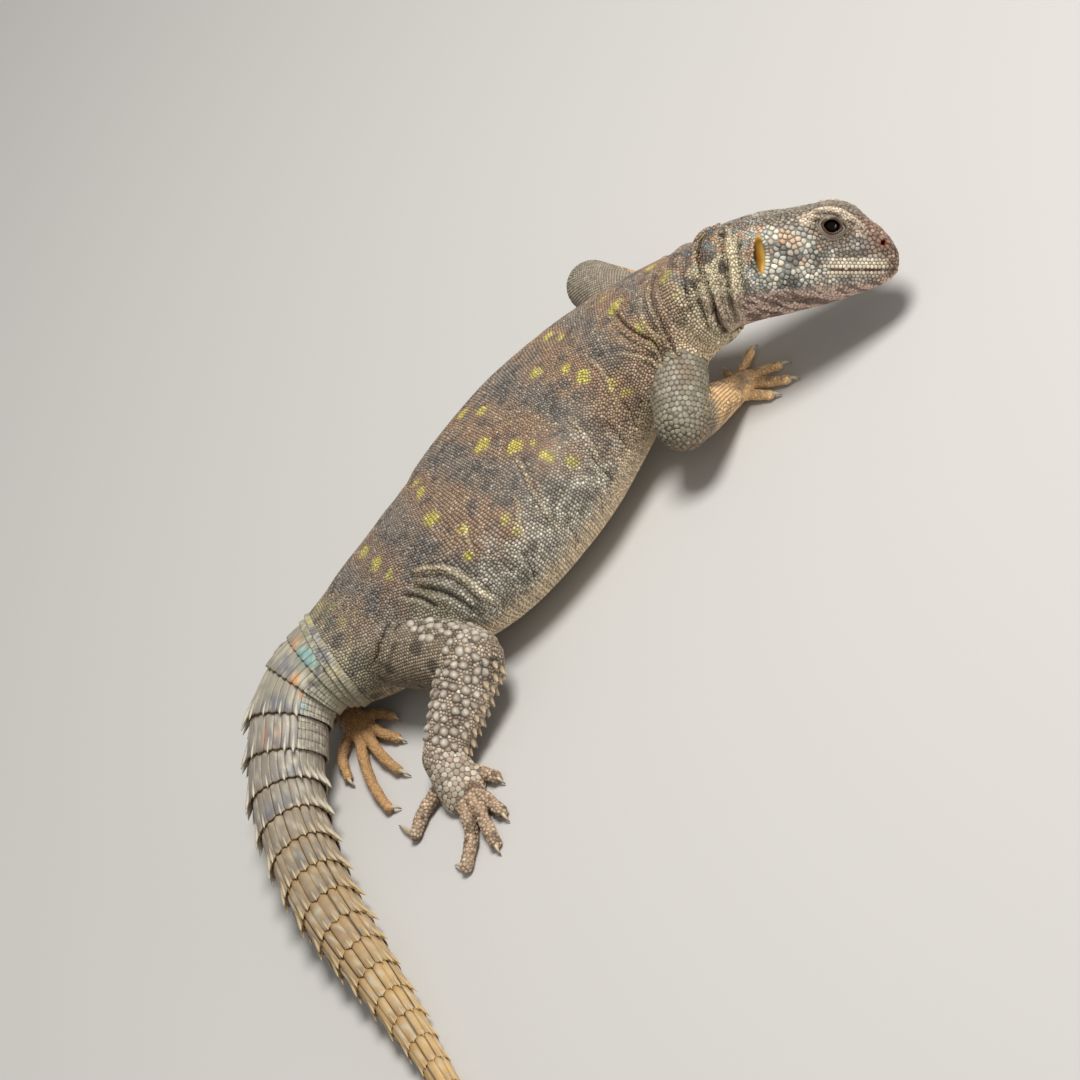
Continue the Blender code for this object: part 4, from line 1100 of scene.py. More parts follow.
# Colours in percent of sRGB. A scale takes one of a name's colours by its own random number.
PALETTES = {
    "brown": ((50, 41, 33), (56, 47, 38), (61, 52, 43), (53, 43, 34), (70, 63, 54)),
    "rust": ((54, 40, 32), (60, 46, 37), (48, 37, 31)),
    "grey": ((46, 42, 38), (52, 48, 43), (40, 38, 36), (62, 59, 54)),
    "slate": ((27, 25, 23), (38, 37, 36), (24, 22, 20), (52, 51, 49), (32, 30, 27)),
    "thread": ((36, 27, 21),),
    "silver": ((70, 67, 60), (60, 57, 51), (80, 78, 72), (52, 48, 42), (86, 84, 78)),
    "tan": ((60, 50, 41), (66, 56, 46), (52, 42, 34), (70, 62, 53)),
    "soot": ((32, 29, 26),),
    "belly": ((87, 78, 65), (82, 73, 60), (90, 83, 71)),
    "belly_stripe": ((46, 36, 27),),
    "speck": ((66, 42, 29),),
    "yellow": ((72, 67, 32), (80, 75, 36), (66, 61, 31), (83, 79, 44)),
    "dull_yellow": ((62, 58, 38), (70, 66, 44), (52, 48, 37)),
    "tail_side": ((62, 58, 46), (70, 66, 54), (50, 46, 38)),
    "tail_root": ((58, 55, 46), (66, 63, 53), (48, 45, 38), (70, 67, 56)),
    "hip": ((45, 41, 33), (52, 48, 40), (38, 35, 29)),
    "hollow": ((56, 54, 43), (64, 61, 49), (47, 45, 36)),
    "ridge_cream": ((74, 68, 54),),
    "nape": ((52, 43, 35), (58, 50, 42), (45, 42, 39), (63, 57, 49)),
    "neck_cream": ((73, 68, 56), (80, 75, 63), (66, 60, 49), (86, 82, 71)),
    "neck_blotch": ((25, 19, 17),),
    "neck_slate": ((36, 37, 38), (52, 53, 52)),
    "orange": ((64, 47, 35), (72, 57, 44)),
    "pebble": (
        (75, 74, 68), (54, 56, 55), (79, 76, 67), (50, 50, 47), (82, 80, 74), (66, 62, 55), (60, 63, 62),
        (78, 75, 68),
    ),
    "pebble_dark": ((25, 23, 21),),
    "peach": ((72, 57, 46), (78, 64, 52)),
    "crown": ((52, 48, 42), (58, 54, 47), (45, 41, 37), (62, 58, 51)),
    "crown_dark": ((36, 32, 28),),
    "socket": ((44, 38, 32), (52, 45, 38), (40, 35, 30)),
    "brow": ((80, 72, 63), (85, 78, 69), (74, 66, 57)),
    "snout": ((51, 40, 33), (59, 48, 40), (43, 34, 28), (66, 57, 48)),
    "snout_dark": ((40, 30, 25),),
    "lip": ((84, 79, 70), (79, 71, 59), (88, 85, 78), (75, 68, 60)),
    "lip_blotch": ((33, 25, 20),),
    "lower_lip_blotch": ((38, 30, 26),),
    "apricot": ((74, 56, 43), (80, 69, 57)),
    "throat": ((75, 64, 57), (81, 71, 64), (69, 57, 50)),
    "throat_streak": ((30, 21, 18),),
    "arm": ((52, 49, 43), (47, 44, 37), (58, 56, 49)),
    "arm_brown": ((44, 37, 29),),
    "elbow": ((46, 37, 28), (52, 43, 33)),
    "left_arm": ((56, 51, 44), (62, 58, 51), (50, 44, 37)),
    "hand": ((85, 69, 49), (89, 75, 56), (80, 63, 44)),
    "hand_grey": ((47, 43, 38),),
    "thigh": ((52, 46, 38), (60, 54, 46), (44, 38, 31), (66, 61, 53)),
    "thigh_dark": ((27, 24, 20),),
    "shank": ((70, 62, 54), (75, 69, 61), (63, 55, 47), (80, 76, 69)),
    "shank_dark": ((38, 29, 25),),
    "foot_plate": ((66, 61, 54), (73, 69, 62), (58, 51, 43)),
    "foot_plate_dark": ((44, 35, 29),),
    "toes": ((66, 56, 46), (72, 62, 52), (60, 50, 40), (76, 69, 60)),
    "toes_dark": ((33, 25, 20),),
    "left_foot": ((69, 53, 35), (73, 58, 40), (64, 49, 33)),
    "tubercle": ((64, 60, 54), (70, 66, 60), (58, 53, 47), (75, 71, 65)),
    "tubercle_tip": ((72, 64, 53),),
    "tail": (
        (56, 54, 46), (62, 60, 53), (57, 54, 49), (54, 51, 46), (57, 51, 42), (65, 55, 41), (73, 61, 42),
        (78, 63, 41),
    ),
    "tail_below": ((70, 64, 54),),
    "plate_pale": ((76, 74, 67),),
    "plate_grey": ((42, 43, 45),),
    "plate_rear": ((36, 35, 36),),
    "plate_edge": ((62, 49, 30),),
    "spine_tip": ((80, 77, 70),),
    "late_spine_tip": ((76, 67, 50),),
    "hind_claw": ((50, 42, 34),),
    "front_claw": ((62, 50, 36),),
    "horn": ((74, 67, 56),),
    "claw_tip": ((35, 30, 26),),
    "lid_rim": ((30, 20, 13),),
    "lid": ((56, 51, 45),),
    # Painted shade in the gap between the lids and the eyeball.
    "lid_gap_shade": ((24, 18, 14),),
    "pupil": ((2, 1.6, 1.4),),
    "iris": ((13, 7.5, 4.5),),
    "eye_rim": ((5, 3.5, 3),),
    "ear": ((64, 46, 17),),
    "ear_front": ((78, 66, 33),),
    # Painted shade deep in the ear's opening.
    "ear_deep_shade": ((16, 10, 5),),
    "nostril": ((50, 17, 11),),
    "mouth": ((28, 19, 15),),
}


def linear(percent):
    """Linear light from percent of sRGB."""
    value = np.array(percent, float) / 100
    return np.where(value <= 0.04045, value / 12.92, ((value + 0.055) / 1.055) ** 2.4)


def blend(base, over, share):
    """base + (over - base) * share."""
    return base + (over - base) * np.asarray(share)[..., None]


def pick(random, name):
    """One of a name's colours for each place, by its random number, softly blended with the next."""
    table = linear(PALETTES[name])
    if len(table) == 1:
        return table[0]
    at = random * (len(table) - 1)
    low = np.floor(at).astype(int).clip(0, len(table) - 2)
    return blend(table[low], table[low + 1], at - low)


def plain(name):
    """A name's first colour."""
    return linear(PALETTES[name][0])


class Layers:
    """Colours of many places, with others laid over them by share. New ones are names or arrays."""

    def __init__(self, random, name):
        self.random, self.colour = random, pick(random, name)

    def picked(self, new):
        return pick(self.random, new) if isinstance(new, str) else new

    def over(self, new, share):
        self.colour = blend(self.colour, self.picked(new), share)

    def only(self, chosen, new):
        """Puts the new colour, with nothing of the old one, where chosen is true."""
        self.colour = np.where(chosen[:, None], self.picked(new), self.colour)


def stretched(points):
    """Points squeezed along the height, so that noise of them runs in upright streaks."""
    return points * [1.0, 1.0, 0.45]


def trunk_colour(points, where, random):
    """Grey-brown with faint slate bands, rust and yellow spots between, silver flanks and a cream belly."""
    length, turn = where["first"], degrees_round(where)
    round_back = np.abs(turn)
    row = np.interp(length + SPOT_ROW_SLANT * turn, SPOT_ROWS, np.arange(len(SPOT_ROWS)))
    between = 0.5 - 0.5 * np.cos(2 * math.pi * row)
    patch, mottle, fine = noise(points, 4.2, 1), noise(points, 2.0, 3), noise(points, 1.2, 4)
    coat = Layers(random, "brown")
    coat.over("rust", ease(0.50, 0.70, mottle) * (1 - 0.6 * between) * (0.5 - 0.4 * ease(84, 104, length)))
    coat.over("grey", ease(0.25, 0.80, 0.8 * between + 0.6 * (patch - 0.5)) * 0.85)
    coat.over("grey", ease(88, 110, length) * 0.45)
    blotch = ease(0.52, 0.72, noise(points, 2.2, 6) + 0.16 * (between - 0.6) + 0.10 * (patch - 0.5))
    coat.over("slate", blotch * np.where(random < 0.75, 0.75, 0.35))
    coat.over("thread", (1 - ease(0.0, 0.05, np.abs(noise(points, 2.4, 8) - 0.5))) * 0.45)
    flank = Layers(random, "tan")
    flank.over("silver", ease(46, 64, length + 14 * (patch - 0.5)))
    flank.over("soot", ease(0.52, 0.66, mottle + 0.12 * (between - 0.5)) * 0.55)
    coat.over(flank.colour, ease(40, 74, round_back + 22 * (patch - 0.5)) * 0.92)
    belly = Layers(random, "belly")
    belly.over("belly_stripe", ease(0.2, 0.7, np.sin(length * 2 * math.pi / 2.6 + 3 * fine)) * 0.35)
    coat.over(belly.colour, ease(92, 106, round_back + 10 * (fine - 0.5)) * 0.9)
    coat.over("speck", ((random > 0.996) & (round_back < 65)) * 0.6)
    rust, yellow = pick(random, "rust"), pick(random, "yellow")
    for spot_length, spot_turn, radius in SPOTS:
        centre = body_rings([spot_length], np.radians([spot_turn]))[0, 0]
        apart = np.linalg.norm(points - centre, axis=1) + 1.5 * (fine - 0.5)
        coat.over(rust, bell(apart, 1.45 * radius, 0.8) * 0.35)
        inside = 1 - ease(0.70 * radius, 1.20 * radius, apart)
        weak = 1.0 if abs(spot_turn) < 50 else 0.7
        coat.over(yellow, inside * weak * np.where(random < 0.78, 0.95, 0.25))
    band = bell(length + 0.10 * turn, 133.5, 2.6) * (1 - ease(26, 42, np.abs(turn + 4)))
    coat.over("dull_yellow", band * ease(0.30, 0.55, noise(points, 2.4, 17)) * 0.8)
    side = ease(127, 136, length) * ease(28, 50, round_back) * (1 - ease(98, 112, round_back))
    coat.over("tail_side", side * 0.75)
    coat.over("tail_root", ease(134, 141, length + 3 * (patch - 0.5)) * 0.8)
    coat.over("slate", ease(131, 135, length) * ease(0.56, 0.68, noise(points, 2.6, 18)) * 0.7)
    hip = bell(length, 128, 9) * ease(48, 66, round_back) * (1 - ease(96, 110, round_back))
    coat.over("hip", hip * 0.8)
    hollow = bell(length, 106.5, 4.5) * ease(38, 50, round_back) * (1 - ease(74, 88, round_back))
    coat.over("hollow", hollow * 0.6)
    coat.over(neck_colour(points, random, round_back), 1 - ease(3, 13, length))
    return coat.colour


def neck_colour(points, random, round_back):
    """Fine cream and grey-brown granules with dark upright blotches, and orange streaks near the nape."""
    coat = Layers(random, "nape")
    coat.over("neck_cream", ease(28, 62, round_back))
    coat.over("neck_blotch", ease(0.58, 0.66, noise(stretched(points), 2.2, 12)) * 0.85)
    upper = ease(0.60, 0.70, noise(stretched(points), 3.2, 13)) * (round_back < 75)
    coat.over("neck_slate", upper * 0.8)
    streak = ease(0.64, 0.72, noise(stretched(points), 2.2, 14)) * (1 - ease(60, 75, round_back))
    coat.over("orange", streak * 0.65)
    return coat.colour


# Apricot patches of the cheek: centre in the head's frame and radius.
CHEEK_PATCHES = (
    ((7.2, 10.7, 7.0), 1.9), ((0.7, 9.4, 9.4), 1.5), ((-1.5, 8.8, 9.6), 1.1), ((4.4, 12.2, 4.0), 0.9),
)


def head_colour(points, random):
    """Cream, white and blue-grey pebbles in dark joints, tan brow and snout, blotched lips, brown throat."""
    head = left_half(body_to_head(points))
    x, y, z = head.T
    patch, fine = noise(points, 2.6, 21), noise(points, 1.4, 22)
    coat = Layers(random, "pebble")
    coat.over("pebble_dark", ease(0.54, 0.68, patch) * np.where(random < 0.7, 0.75, 0.25))
    peach = ease(0.60, 0.72, noise(points, 2.4, 24)) * ease(-1, 1, z) * (1 - ease(14, 17, x))
    coat.over("peach", peach * 0.7)
    crown = Layers(random, "crown")
    crown.over("crown_dark", ease(0.55, 0.75, fine) * 0.55)
    coat.over(crown.colour, ease(7.8, 9.8, z + 0.10 * (x - 8)) * ease(-2, 3, x))
    coat.over("socket", (1 - ease(4.8, 6.6, np.linalg.norm(head - EYE, axis=1))) * 0.85)
    coat.over("brow", on_brow(head) * 0.95)
    snout = Layers(random, "snout")
    snout.over("snout_dark", ease(0.60, 0.72, fine) * 0.5)
    coat.over(snout.colour, ease(24, 28.5, x + 0.25 * (z - 3)))
    coat.over("lip", bell(z, 0.5, 2.5, 4) * ease(15.5, 18.5, x) * (1 - ease(29.5, 31.5, x)) * 0.9)
    along_lip = noise(np.stack([x, 0.35 * z, 7.0 * np.sign(y)], 1), 1.5, 25)
    coat.over("lip_blotch", ease(0.50, 0.62, along_lip) * bell(z, 3.2, 1.5) * ease(17, 19, x) * 0.8)
    coat.over("lower_lip_blotch", ease(0.56, 0.68, along_lip) * bell(z, -2.6, 1.2) * ease(15, 17, x) * 0.7)
    for centre, radius in CHEEK_PATCHES:
        apart = np.linalg.norm(head - centre, axis=1) + 1.0 * (fine - 0.5)
        coat.over("apricot", (1 - ease(0.7 * radius, 1.3 * radius, apart)) * 0.75)
    throat = Layers(random, "throat")
    streak = noise(np.stack([x * 0.50 + z * 1.15, z * 0.30 - x * 0.22, y * 0.35], 1), 1.2, 27)
    throat.over("throat_streak", ease(0.57, 0.65, streak) * 0.75)
    under = 1 - ease(-6, -3.2, z - 0.10 * (x - 10) + 2.2 * (patch - 0.5))
    coat.over(throat.colour, under)
    neck = neck_colour(points, random, 42 + 5.0 * (8.0 - z))
    coat.over(neck, (1 - ease(-4, -0.6, x)) * (1 - 0.6 * under))
    return coat.colour


def limb_colour(points, where, random):
    """Pale grey arm scales, grey-brown hind legs, orange-tan hands and left foot, grey-white right foot."""
    left, first = where["side"] > 0, where["first"]
    coat = Layers(random, "arm")
    coat.over("arm_brown", ease(0.50, 0.75, noise(points, 4.0, 31)) * 0.6)
    right_arm = is_in(where, "upper_arm") & ~left
    coat.over("elbow", right_arm * (1 - ease(13.5, 18, points[:, 2])) * 0.9)
    coat.only(left & is_in(where, "upper_arm"), "left_arm")
    hand = Layers(random, "hand")
    hand.over("hand_grey", ease(0.60, 0.74, noise(points, 2.0, 34)) * 0.6)
    coat.over(hand.colour, is_in(where, "forearm") * ease(0.30, 0.55, first))
    thigh = Layers(random, "thigh")
    thigh.over("thigh_dark", ease(0.54, 0.68, noise(points, 2.8, 37)) * 0.7)
    shank = Layers(random, "shank")
    shank.over("shank_dark", ease(0.57, 0.72, noise(points, 3.2, 38)) * 0.55)
    foot = Layers(random, "foot_plate")
    foot.over("foot_plate_dark", ease(0.56, 0.72, noise(points, 1.3, 32)) * 0.5)
    toes = Layers(random, "toes")
    toes.over("toes_dark", ease(0.62, 0.72, noise(points, 1.5, 36)) * 0.7)
    foot.over(toes.colour, ease(0.95, 1.15, first))
    foot.only(left, "left_foot")
    for name, part in (("thigh", thigh), ("shank", shank), ("hand", hand), ("foot", foot)):
        coat.only(is_in(where, name), part.colour)
    return coat.colour


def colours_at(points, where, random):
    """The markings of skin and scales by region."""
    colour = limb_colour(points, where, random)
    colour = np.where(is_in(where, "trunk")[:, None], trunk_colour(points, where, random), colour)
    return np.where(is_in(where, "head")[:, None], head_colour(points, random), colour)


def marked(points, where, random, paths):
    """The markings, with cream on the crests of the raised folds."""
    return blend(colours_at(points, where, random), plain("ridge_cream"), 0.55 * ridge_lines(points, paths))


def fine_feet(where):
    """The hands and the left foot, whose scales are fine and even."""
    return is_in(where, "hand") | (is_in(where, "foot") & (where["side"] > 0))


# Scales

def cells(points, normals, sizes, lie, corners, first_angle):
    """Each scale's outline: at each angle the nearest border half way to a neighbour, within limits.

    A border lies at share * distance / cos(angle between), with the share by the two scales' sizes.
    """
    neighbours = 9
    tree = tree_of(points)
    near = np.full((len(points), neighbours), -1)
    for i, point in enumerate(points):
        found = [hit[1] for hit in tree.find_n(point, neighbours + 1) if hit[1] != i]
        near[i, :len(found)] = found[:neighbours]
    forward = unit(lie - normals * (lie * normals).sum(1, keepdims=True))
    across = np.cross(normals, forward)
    offset = points[near] - points[:, None]
    u = (offset * forward[:, None]).sum(2)
    v = (offset * across[:, None]).sum(2)
    apart = np.hypot(u, v) + 1e-9
    share = sizes[:, None] / (sizes[:, None] + sizes[near])
    facing = (normals[near] * normals[:, None]).sum(2)
    share = np.where(facing < 0.1, 9.0, share)
    angles = first_angle + circle(corners)
    turn = np.arctan2(v, u)
    cosine = np.cos(angles[None, None] - turn[:, :, None])
    border = np.where(cosine > 0.08, (share * apart)[:, :, None] / np.maximum(cosine, 0.08), 9.0).min(1)
    border = np.minimum(border, 0.72 * sizes[:, None])
    border = np.minimum(border, 1.22 * border.mean(1, keepdims=True))
    return forward, across, angles, border


def scale_meshes(
    name, points, normals, colours, roots, shape, forward, across, angles, border, material,
):
    """Closed domes over the outlines, as joined meshes of under MOST_TRIANGLES.

    shape is rows of share of the outline, share of the height and painted light of the ring; then come the
    arrays of height, of the lean of the top towards the rear, and of the joints' darkness, their own dark
    colour with painted shade of the groove. The peak gets a painted highlight.
    """
    profile, height, lean, joint_dark_and_shade = shape
    corners, count = len(angles), len(points)
    direction = spokes(forward, across, angles)
    rows, tints, faces = [], [], []
    around = np.arange(corners)
    after, peak = (around + 1) % corners, corners * len(profile)
    for level, (wide, tall, painted_light) in enumerate(profile):
        rows.append(
            points[:, None] + direction * (border * wide)[..., None]
            + normals[:, None] * (height * tall)[:, None, None]
            + forward[:, None] * (lean * max(tall, 0))[:, None, None]
        )
        # Rings below 1 darken by the joints' darkness, their dark colour with painted shade; above 1 they are
        # a painted highlight.
        shade = np.where(painted_light < 1, 1 - (1 - painted_light) * joint_dark_and_shade, painted_light)
        tints.append(np.repeat((colours * shade[:, None])[:, None], corners, axis=1))
        first, second = level * corners + around, level * corners + after
        if level == len(profile) - 1:
            faces.append(np.stack([first, second, np.full(corners, peak)], 1))
        else:
            faces.append(np.stack([first, second, second + corners], 1))
            faces.append(np.stack([first, second + corners, first + corners], 1))
    rows.append((points + normals * height[:, None] + forward * lean[:, None])[:, None])
    # The peak, 1.06 times as bright: a painted highlight.
    tints.append((colours * 1.06)[:, None])
    verts = clamp(np.concatenate(rows, axis=1), LOWEST_SCALE)
    tints, faces = np.concatenate(tints, axis=1), np.concatenate(faces)
    outline = np.stack([np.cos(angles), np.sin(angles)], 1)
    patch = np.concatenate([outline * wide for wide, _, _ in profile] + [np.zeros((1, 2))]) * UV_PATCH
    pieces = max(1, math.ceil(count / (MOST_TRIANGLES // len(faces))))
    for number, chosen in enumerate(np.array_split(np.arange(count), pieces)):
        starts = np.arange(len(chosen)) * (peak + 1)
        all_faces = (faces[None] + starts[:, None, None]).reshape(-1, 3)
        label = name if pieces == 1 else f"{name}_{number + 1}"
        obj = mesh_of(label, verts[chosen].reshape(-1, 3), all_faces)
        uvs = (roots[chosen][:, None] + patch[None]).reshape(-1, 2)
        finish_piece(obj, tints[chosen].reshape(-1, 3), material, uvs[all_faces.ravel()])


def finish_piece(obj, colours, material, uvs=None):
    """Gives a mesh its tint, its UV map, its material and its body."""
    layer = obj.data.color_attributes.new("tint", "FLOAT_COLOR", "POINT")
    values = np.ones((len(colours), 4), np.float32)
    values[:, :3] = np.clip(colours, 0, 1)
    layer.data.foreach_set("color", values.ravel())
    if uvs is not None:
        layer = obj.data.uv_layers.new(name="OFBake")
        layer.data.foreach_set("uv", uvs.astype(np.float32).ravel())
    obj.data.materials.clear()
    obj.data.materials.append(material)
    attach(obj, "root")


class Pile:
    """Closed meshes heaped up as one piece, with a colour and, if wanted, a UV place for each point."""

    def __init__(self):
        self.parts, self.total = [], 0

    def add(self, points, triangles, colours, uvs=()):
        self.parts.append((points, triangles + self.total, colours, uvs))
        self.total += len(points)

    def make(self, name, material):
        points, faces, colours, uvs = (np.concatenate(part) for part in zip(*self.parts))
        uvs = uvs[faces.ravel()] if len(uvs) else None
        finish_piece(mesh_of(name, points, faces), colours, material, uvs)


def trunk_strip(length, turn):
    """The strip of neck, trunk and tail in the UV map, from its length and its share of a turn."""
    return 0.02 + 0.96 * length / BODY_KNOTS[-1], 0.02 + 0.44 * turn


def unwrap_places(points, where):
    """Where each root lies on an unwrap of the skin: strips for neck to tail, head and each limb."""
    turn = (where["second"] % 360.0) / 360.0
    u, v = trunk_strip(where["first"], turn)
    on_head, limb = is_in(where, "head"), ~is_in(where, "trunk", "head")
    u = np.where(on_head, 0.02 + 0.30 * (body_to_head(points)[:, 0] + 10) / 44, u)
    v = np.where(on_head, 0.50 + 0.46 * turn, v)
    strip = (where["region"] - 2) % 3 + 3 * (where["region"] > 4)
    u = np.where(limb, 0.36 + 0.10 * strip + 0.045 * where["first"], u)
    v = np.where(limb, 0.50 + 0.23 * (where["side"] > 0) + 0.21 * turn, v)
    return np.stack([u, v], 1)


# Profiles of a scale: share of outline, share of height, and painted light of the ring: below 1 painted shade
# of the groove over the joints' own dark colour, above 1 a painted highlight near the top.
BEAD = ((1.0, -0.55, 0.30), (0.80, 0.62, 0.95))
FLAT = ((1.0, -0.25, 0.42), (0.98, 0.50, 0.84), (0.88, 0.92, 1.0), (0.44, 1.0, 1.02))
PEBBLE = ((1.0, -0.5, 0.22), (0.93, 0.30, 0.62), (0.74, 0.76, 1.0), (0.40, 0.96, 1.04))
SPIKE = ((1.04, -0.3, 0.24), (0.90, 0.24, 0.60), (0.62, 0.56, 0.88), (0.26, 0.88, 1.16))


def tubercle_seeds():
    """Roots of the large scales of the hind legs, and arrays of their sizes, heights and leans.

    On the thigh they are flat pebbles along its front; on the shank low domes all over its outer side,
    which rise to spikes along the edge that faces away from the tail.
    """
    rows, forms = [], []
    for name, front, outer, edge in (
        ("leg_right", (0.9, 0.0, 0.5), (0.4, -0.6, 0.7), (0.70, -0.42, -0.40)),
        ("leg_left", (0.6, 0.6, 0.6), (-0.9, 0.1, 0.5), (-0.8, -0.2, -0.2)),
    ):
        joints = LEGS[name]
        for pair, facing, spread, low, high, step, thigh in (
            (joints[:2], front, 62, 0.42, 1.34, 2.05, True), (joints[1:], outer, 105, 0.0, 1.0, 2.75, False),
        ):
            start, end = np.array(pair[0]), np.array(pair[1])
            length = np.linalg.norm(end[:3] - start[:3])
            forward = (end[:3] - start[:3]) / length
            outward = unit(np.array(facing) - forward * (np.array(facing) @ forward))
            side = np.cross(forward, outward)
            rim = unit(np.array(edge) - forward * (np.array(edge) @ forward))
            for number, place in enumerate(np.arange(low, high, step * 0.95 / length)):
                at = start * (1 - place) + end * place
                gap = math.degrees(step / at[3])
                turns = np.arange(-spread, spread + 1, gap) + (0.5 * gap if number % 2 else 0)
                for turn in np.radians(turns + RANDOM.uniform(-5, 5, len(turns))):
                    normal = outward * math.cos(turn) + side * math.sin(turn)
                    shifted = at[:3] + forward * RANDOM.uniform(-0.3, 0.3)
                    rows.append(shifted + normal * (at[3] - SKIN_SINK))
                    spike = float(ease(0.55, 0.92, normal @ rim))
                    grow = RANDOM.uniform(0.85, 1.12)
                    if thigh:
                        forms.append((2.2 * grow, 0.45, 0.10))
                    else:
                        forms.append(((2.15 - 0.4 * spike) * grow, 0.85 + 0.55 * spike, 0.25 + 0.80 * spike))
    return np.array(rows), np.array(forms).T


def make_scales(skin_mesh, places, material, paths):
    """The scales of body, head and limbs, and the large ones of the hind legs, each kind its own piece."""
    points, normals, triangles = skin_mesh
    tree = surface_of(points, triangles)
    big, forms = tubercle_seeds()
    big, kept = snap(tree, big, 1.2)
    inside = np.flatnonzero(is_in(places.find(big), "thigh", "shank") & (big[:, 2] > 1.0))
    order = inside[Packing(2.6).take(big[inside], 0.84 * forms[0][kept[inside]])]
    big, (big_size, big_height, big_lean) = big[order], forms[:, kept[order]]
    seeds = scale_seeds(points, triangles, places)
    near_big = tree_of(big)
    apart = np.array([near_big.find(seed)[1:] for seed in seeds])
    seeds = np.concatenate([seeds[apart[:, 1] > 0.60 * big_size[apart[:, 0].astype(int)]], big])
    spiny = np.arange(len(seeds)) >= len(seeds) - len(big)
    where = places.find(seeds)
    random = RANDOM.random(len(seeds))
    sizes = spacing_at(seeds, where)
    sizes[spiny] = big_size
    normal = soft_normals(tree, points, normals, triangles, seeds)
    shade = crease_shade(seeds, paths)
    # Tone that differs at random from scale to scale, and on a few scales a painted glint 1.28 times as
    # bright.
    tone_and_painted_glint = 1 + 0.34 * (RANDOM.random(len(seeds)) - 0.5)
    tone_and_painted_glint = np.where(RANDOM.random(len(seeds)) > 0.93, 1.28, tone_and_painted_glint)
    colours = np.clip(marked(seeds, where, random, paths) * (shade * tone_and_painted_glint)[:, None], 0, 0.92)
    roots = unwrap_places(seeds, where)
    trunk, head, upper_arm, foot = (is_in(where, name) for name in ("trunk", "head", "upper_arm", "foot"))
    flat = (where["side"] < 0) & (upper_arm | (foot & (where["first"] < 1)))
    beads = ~(head | flat | spiny)
    turn, soft = np.abs(degrees_round(where)), fine_feet(where)
    for name, chosen, profile, corners, start, slot in (
        ("scales_body", beads & trunk, BEAD, 6, math.pi / 6, "body_scales"),
        ("scales_limbs", beads & ~trunk, BEAD, 6, math.pi / 6, "leg_scales"),
        ("scales_head", head & ~spiny, PEBBLE, 9, 0.0, "head_scales"),
        ("scales_arms", flat & ~spiny, FLAT, 8, math.pi / 8, "leg_scales"),
        ("tubercles", spiny, SPIKE, 9, 0.0, "leg_scales"),
    ):
        forward, across, angles, border = cells(seeds, normal, sizes, where["lie"], corners, start)
        index = np.flatnonzero(chosen)
        size, colour = border[index].mean(1), colours[index]
        # The joints' darkness: their own dark colour together with painted shade of the grooves.
        height, lean, joint_dark_and_shade = 0.40 * size, 0.10 * size, np.ones(len(index))
        if name == "scales_body":
            flank = ease(40, 80, turn[index])
            height, lean, joint_dark_and_shade = size * (0.36 + 0.24 * flank), 0.22 * size, 0.62 + 0.36 * flank
        elif name == "scales_head":
            at = body_to_head(seeds[index])
            even = np.maximum(on_brow(left_half(at)), at[:, 2] < -4.0)
            height, joint_dark_and_shade = size * (0.34 + 0.22 * random[index]) * (1 - 0.4 * even), 1.16 - 0.55 * even
        elif name == "scales_limbs":
            height = size * np.where(soft[index], 0.28, 0.40)
            joint_dark_and_shade = np.where(soft[index], 0.22, np.where(foot[index], 0.4, 0.85))
        elif name == "scales_arms":
            height, joint_dark_and_shade = 0.20 * size, np.full(len(index), 0.90)
        elif name == "tubercles":
            height, lean = big_height, big_lean
            colour = blend(pick(random[index], "tubercle"), plain("tubercle_tip"), ease(0.9, 1.3, big_height))
            colour = colour * shade[index][:, None]
        scale_meshes(
            name, seeds[index], normal[index], colour, roots[index], (profile, height, lean, joint_dark_and_shade),
            forward[index], across[index], angles, border[index], material,
        )


def soft_normals(tree, points, normals, triangles, seeds):
    """The skin's smooth normal at each root, from the corners of the face under it."""
    face = triangles[np.array([tree.find_nearest(Vector(seed))[2] for seed in seeds])]
    weight = 1 / (np.linalg.norm(points[face] - seeds[:, None], axis=2) + 1e-3)
    return unit((normals[face] * weight[..., None]).sum(1))


# Tail

def whorl_edges():
    """Lengths at which the tail's whorls begin and end, by the pitch at shares of the tail."""
    start, end = TAIL_LENGTH, BODY_KNOTS[-1]
    edges = [start]
    while edges[-1] < end - 0.6 * WHORL_PITCH[2]:
        part = (edges[-1] - start) / (end - start)
        pitch = np.interp(part, (0.0, 0.35, 1.0), WHORL_PITCH)
        edges.append(min(edges[-1] + pitch, end))
    edges[-1] = end
    return np.array(edges)


# A tail plate's stations along it, its points across it with two below, and how far each point across
# drops from the whorl's surface.
PLATE_ALONG = np.array([-0.08, 0.02, 0.12, 0.35, 0.60, 0.82, 0.95, 1.0])
PLATE_ACROSS = np.array([-1.0, -0.90, -0.6, 0.0, 0.6, 0.90, 1.0, 0.6, -0.6])
PLATE_DROP = np.array([-0.11, 0.0, 0.05, 0.08, 0.05, 0.0, -0.11])


def tail_plate(start, pitch, angle, half, flare, small, bold):
    """One flat scale of a whorl, closed below, that widens with the whorl to a rounded rear edge."""
    widths = (flare[0] - 0.015, flare[0], sum(flare) / 2, flare[1])
    scale = np.interp(PLATE_ALONG, (-0.08, 0.0, 0.5, 1.0), widths)
    round_off = np.where(PLATE_ALONG >= 1.0, 0.16, 0.0) * small
    thick = np.interp(PLATE_ALONG, (0.0, 0.9, 1.0), (0.9, 0.62, 0.40)) * small
    dome = bold * (0.20 - 0.52 * PLATE_ACROSS[:7] ** 2)
    top = (PLATE_DROP + dome)[None] * small - round_off[:, None] + 0.04
    grow = np.concatenate([top, -thick[:, None], -thick[:, None]], axis=1)
    rings = body_rings(start + PLATE_ALONG * pitch, angle + PLATE_ACROSS * half, grow, scale)
    rearward = unit(rings[-1] - rings[-3])
    point = 0.14 + 0.74 * bold - (0.36 + 1.1 * bold) * np.abs(PLATE_ACROSS) ** 1.3
    rings[-2:] += rearward * (small * point * min(1.0, pitch / 4))[:, None]
    return clamp(rings, LOWEST_SCALE)


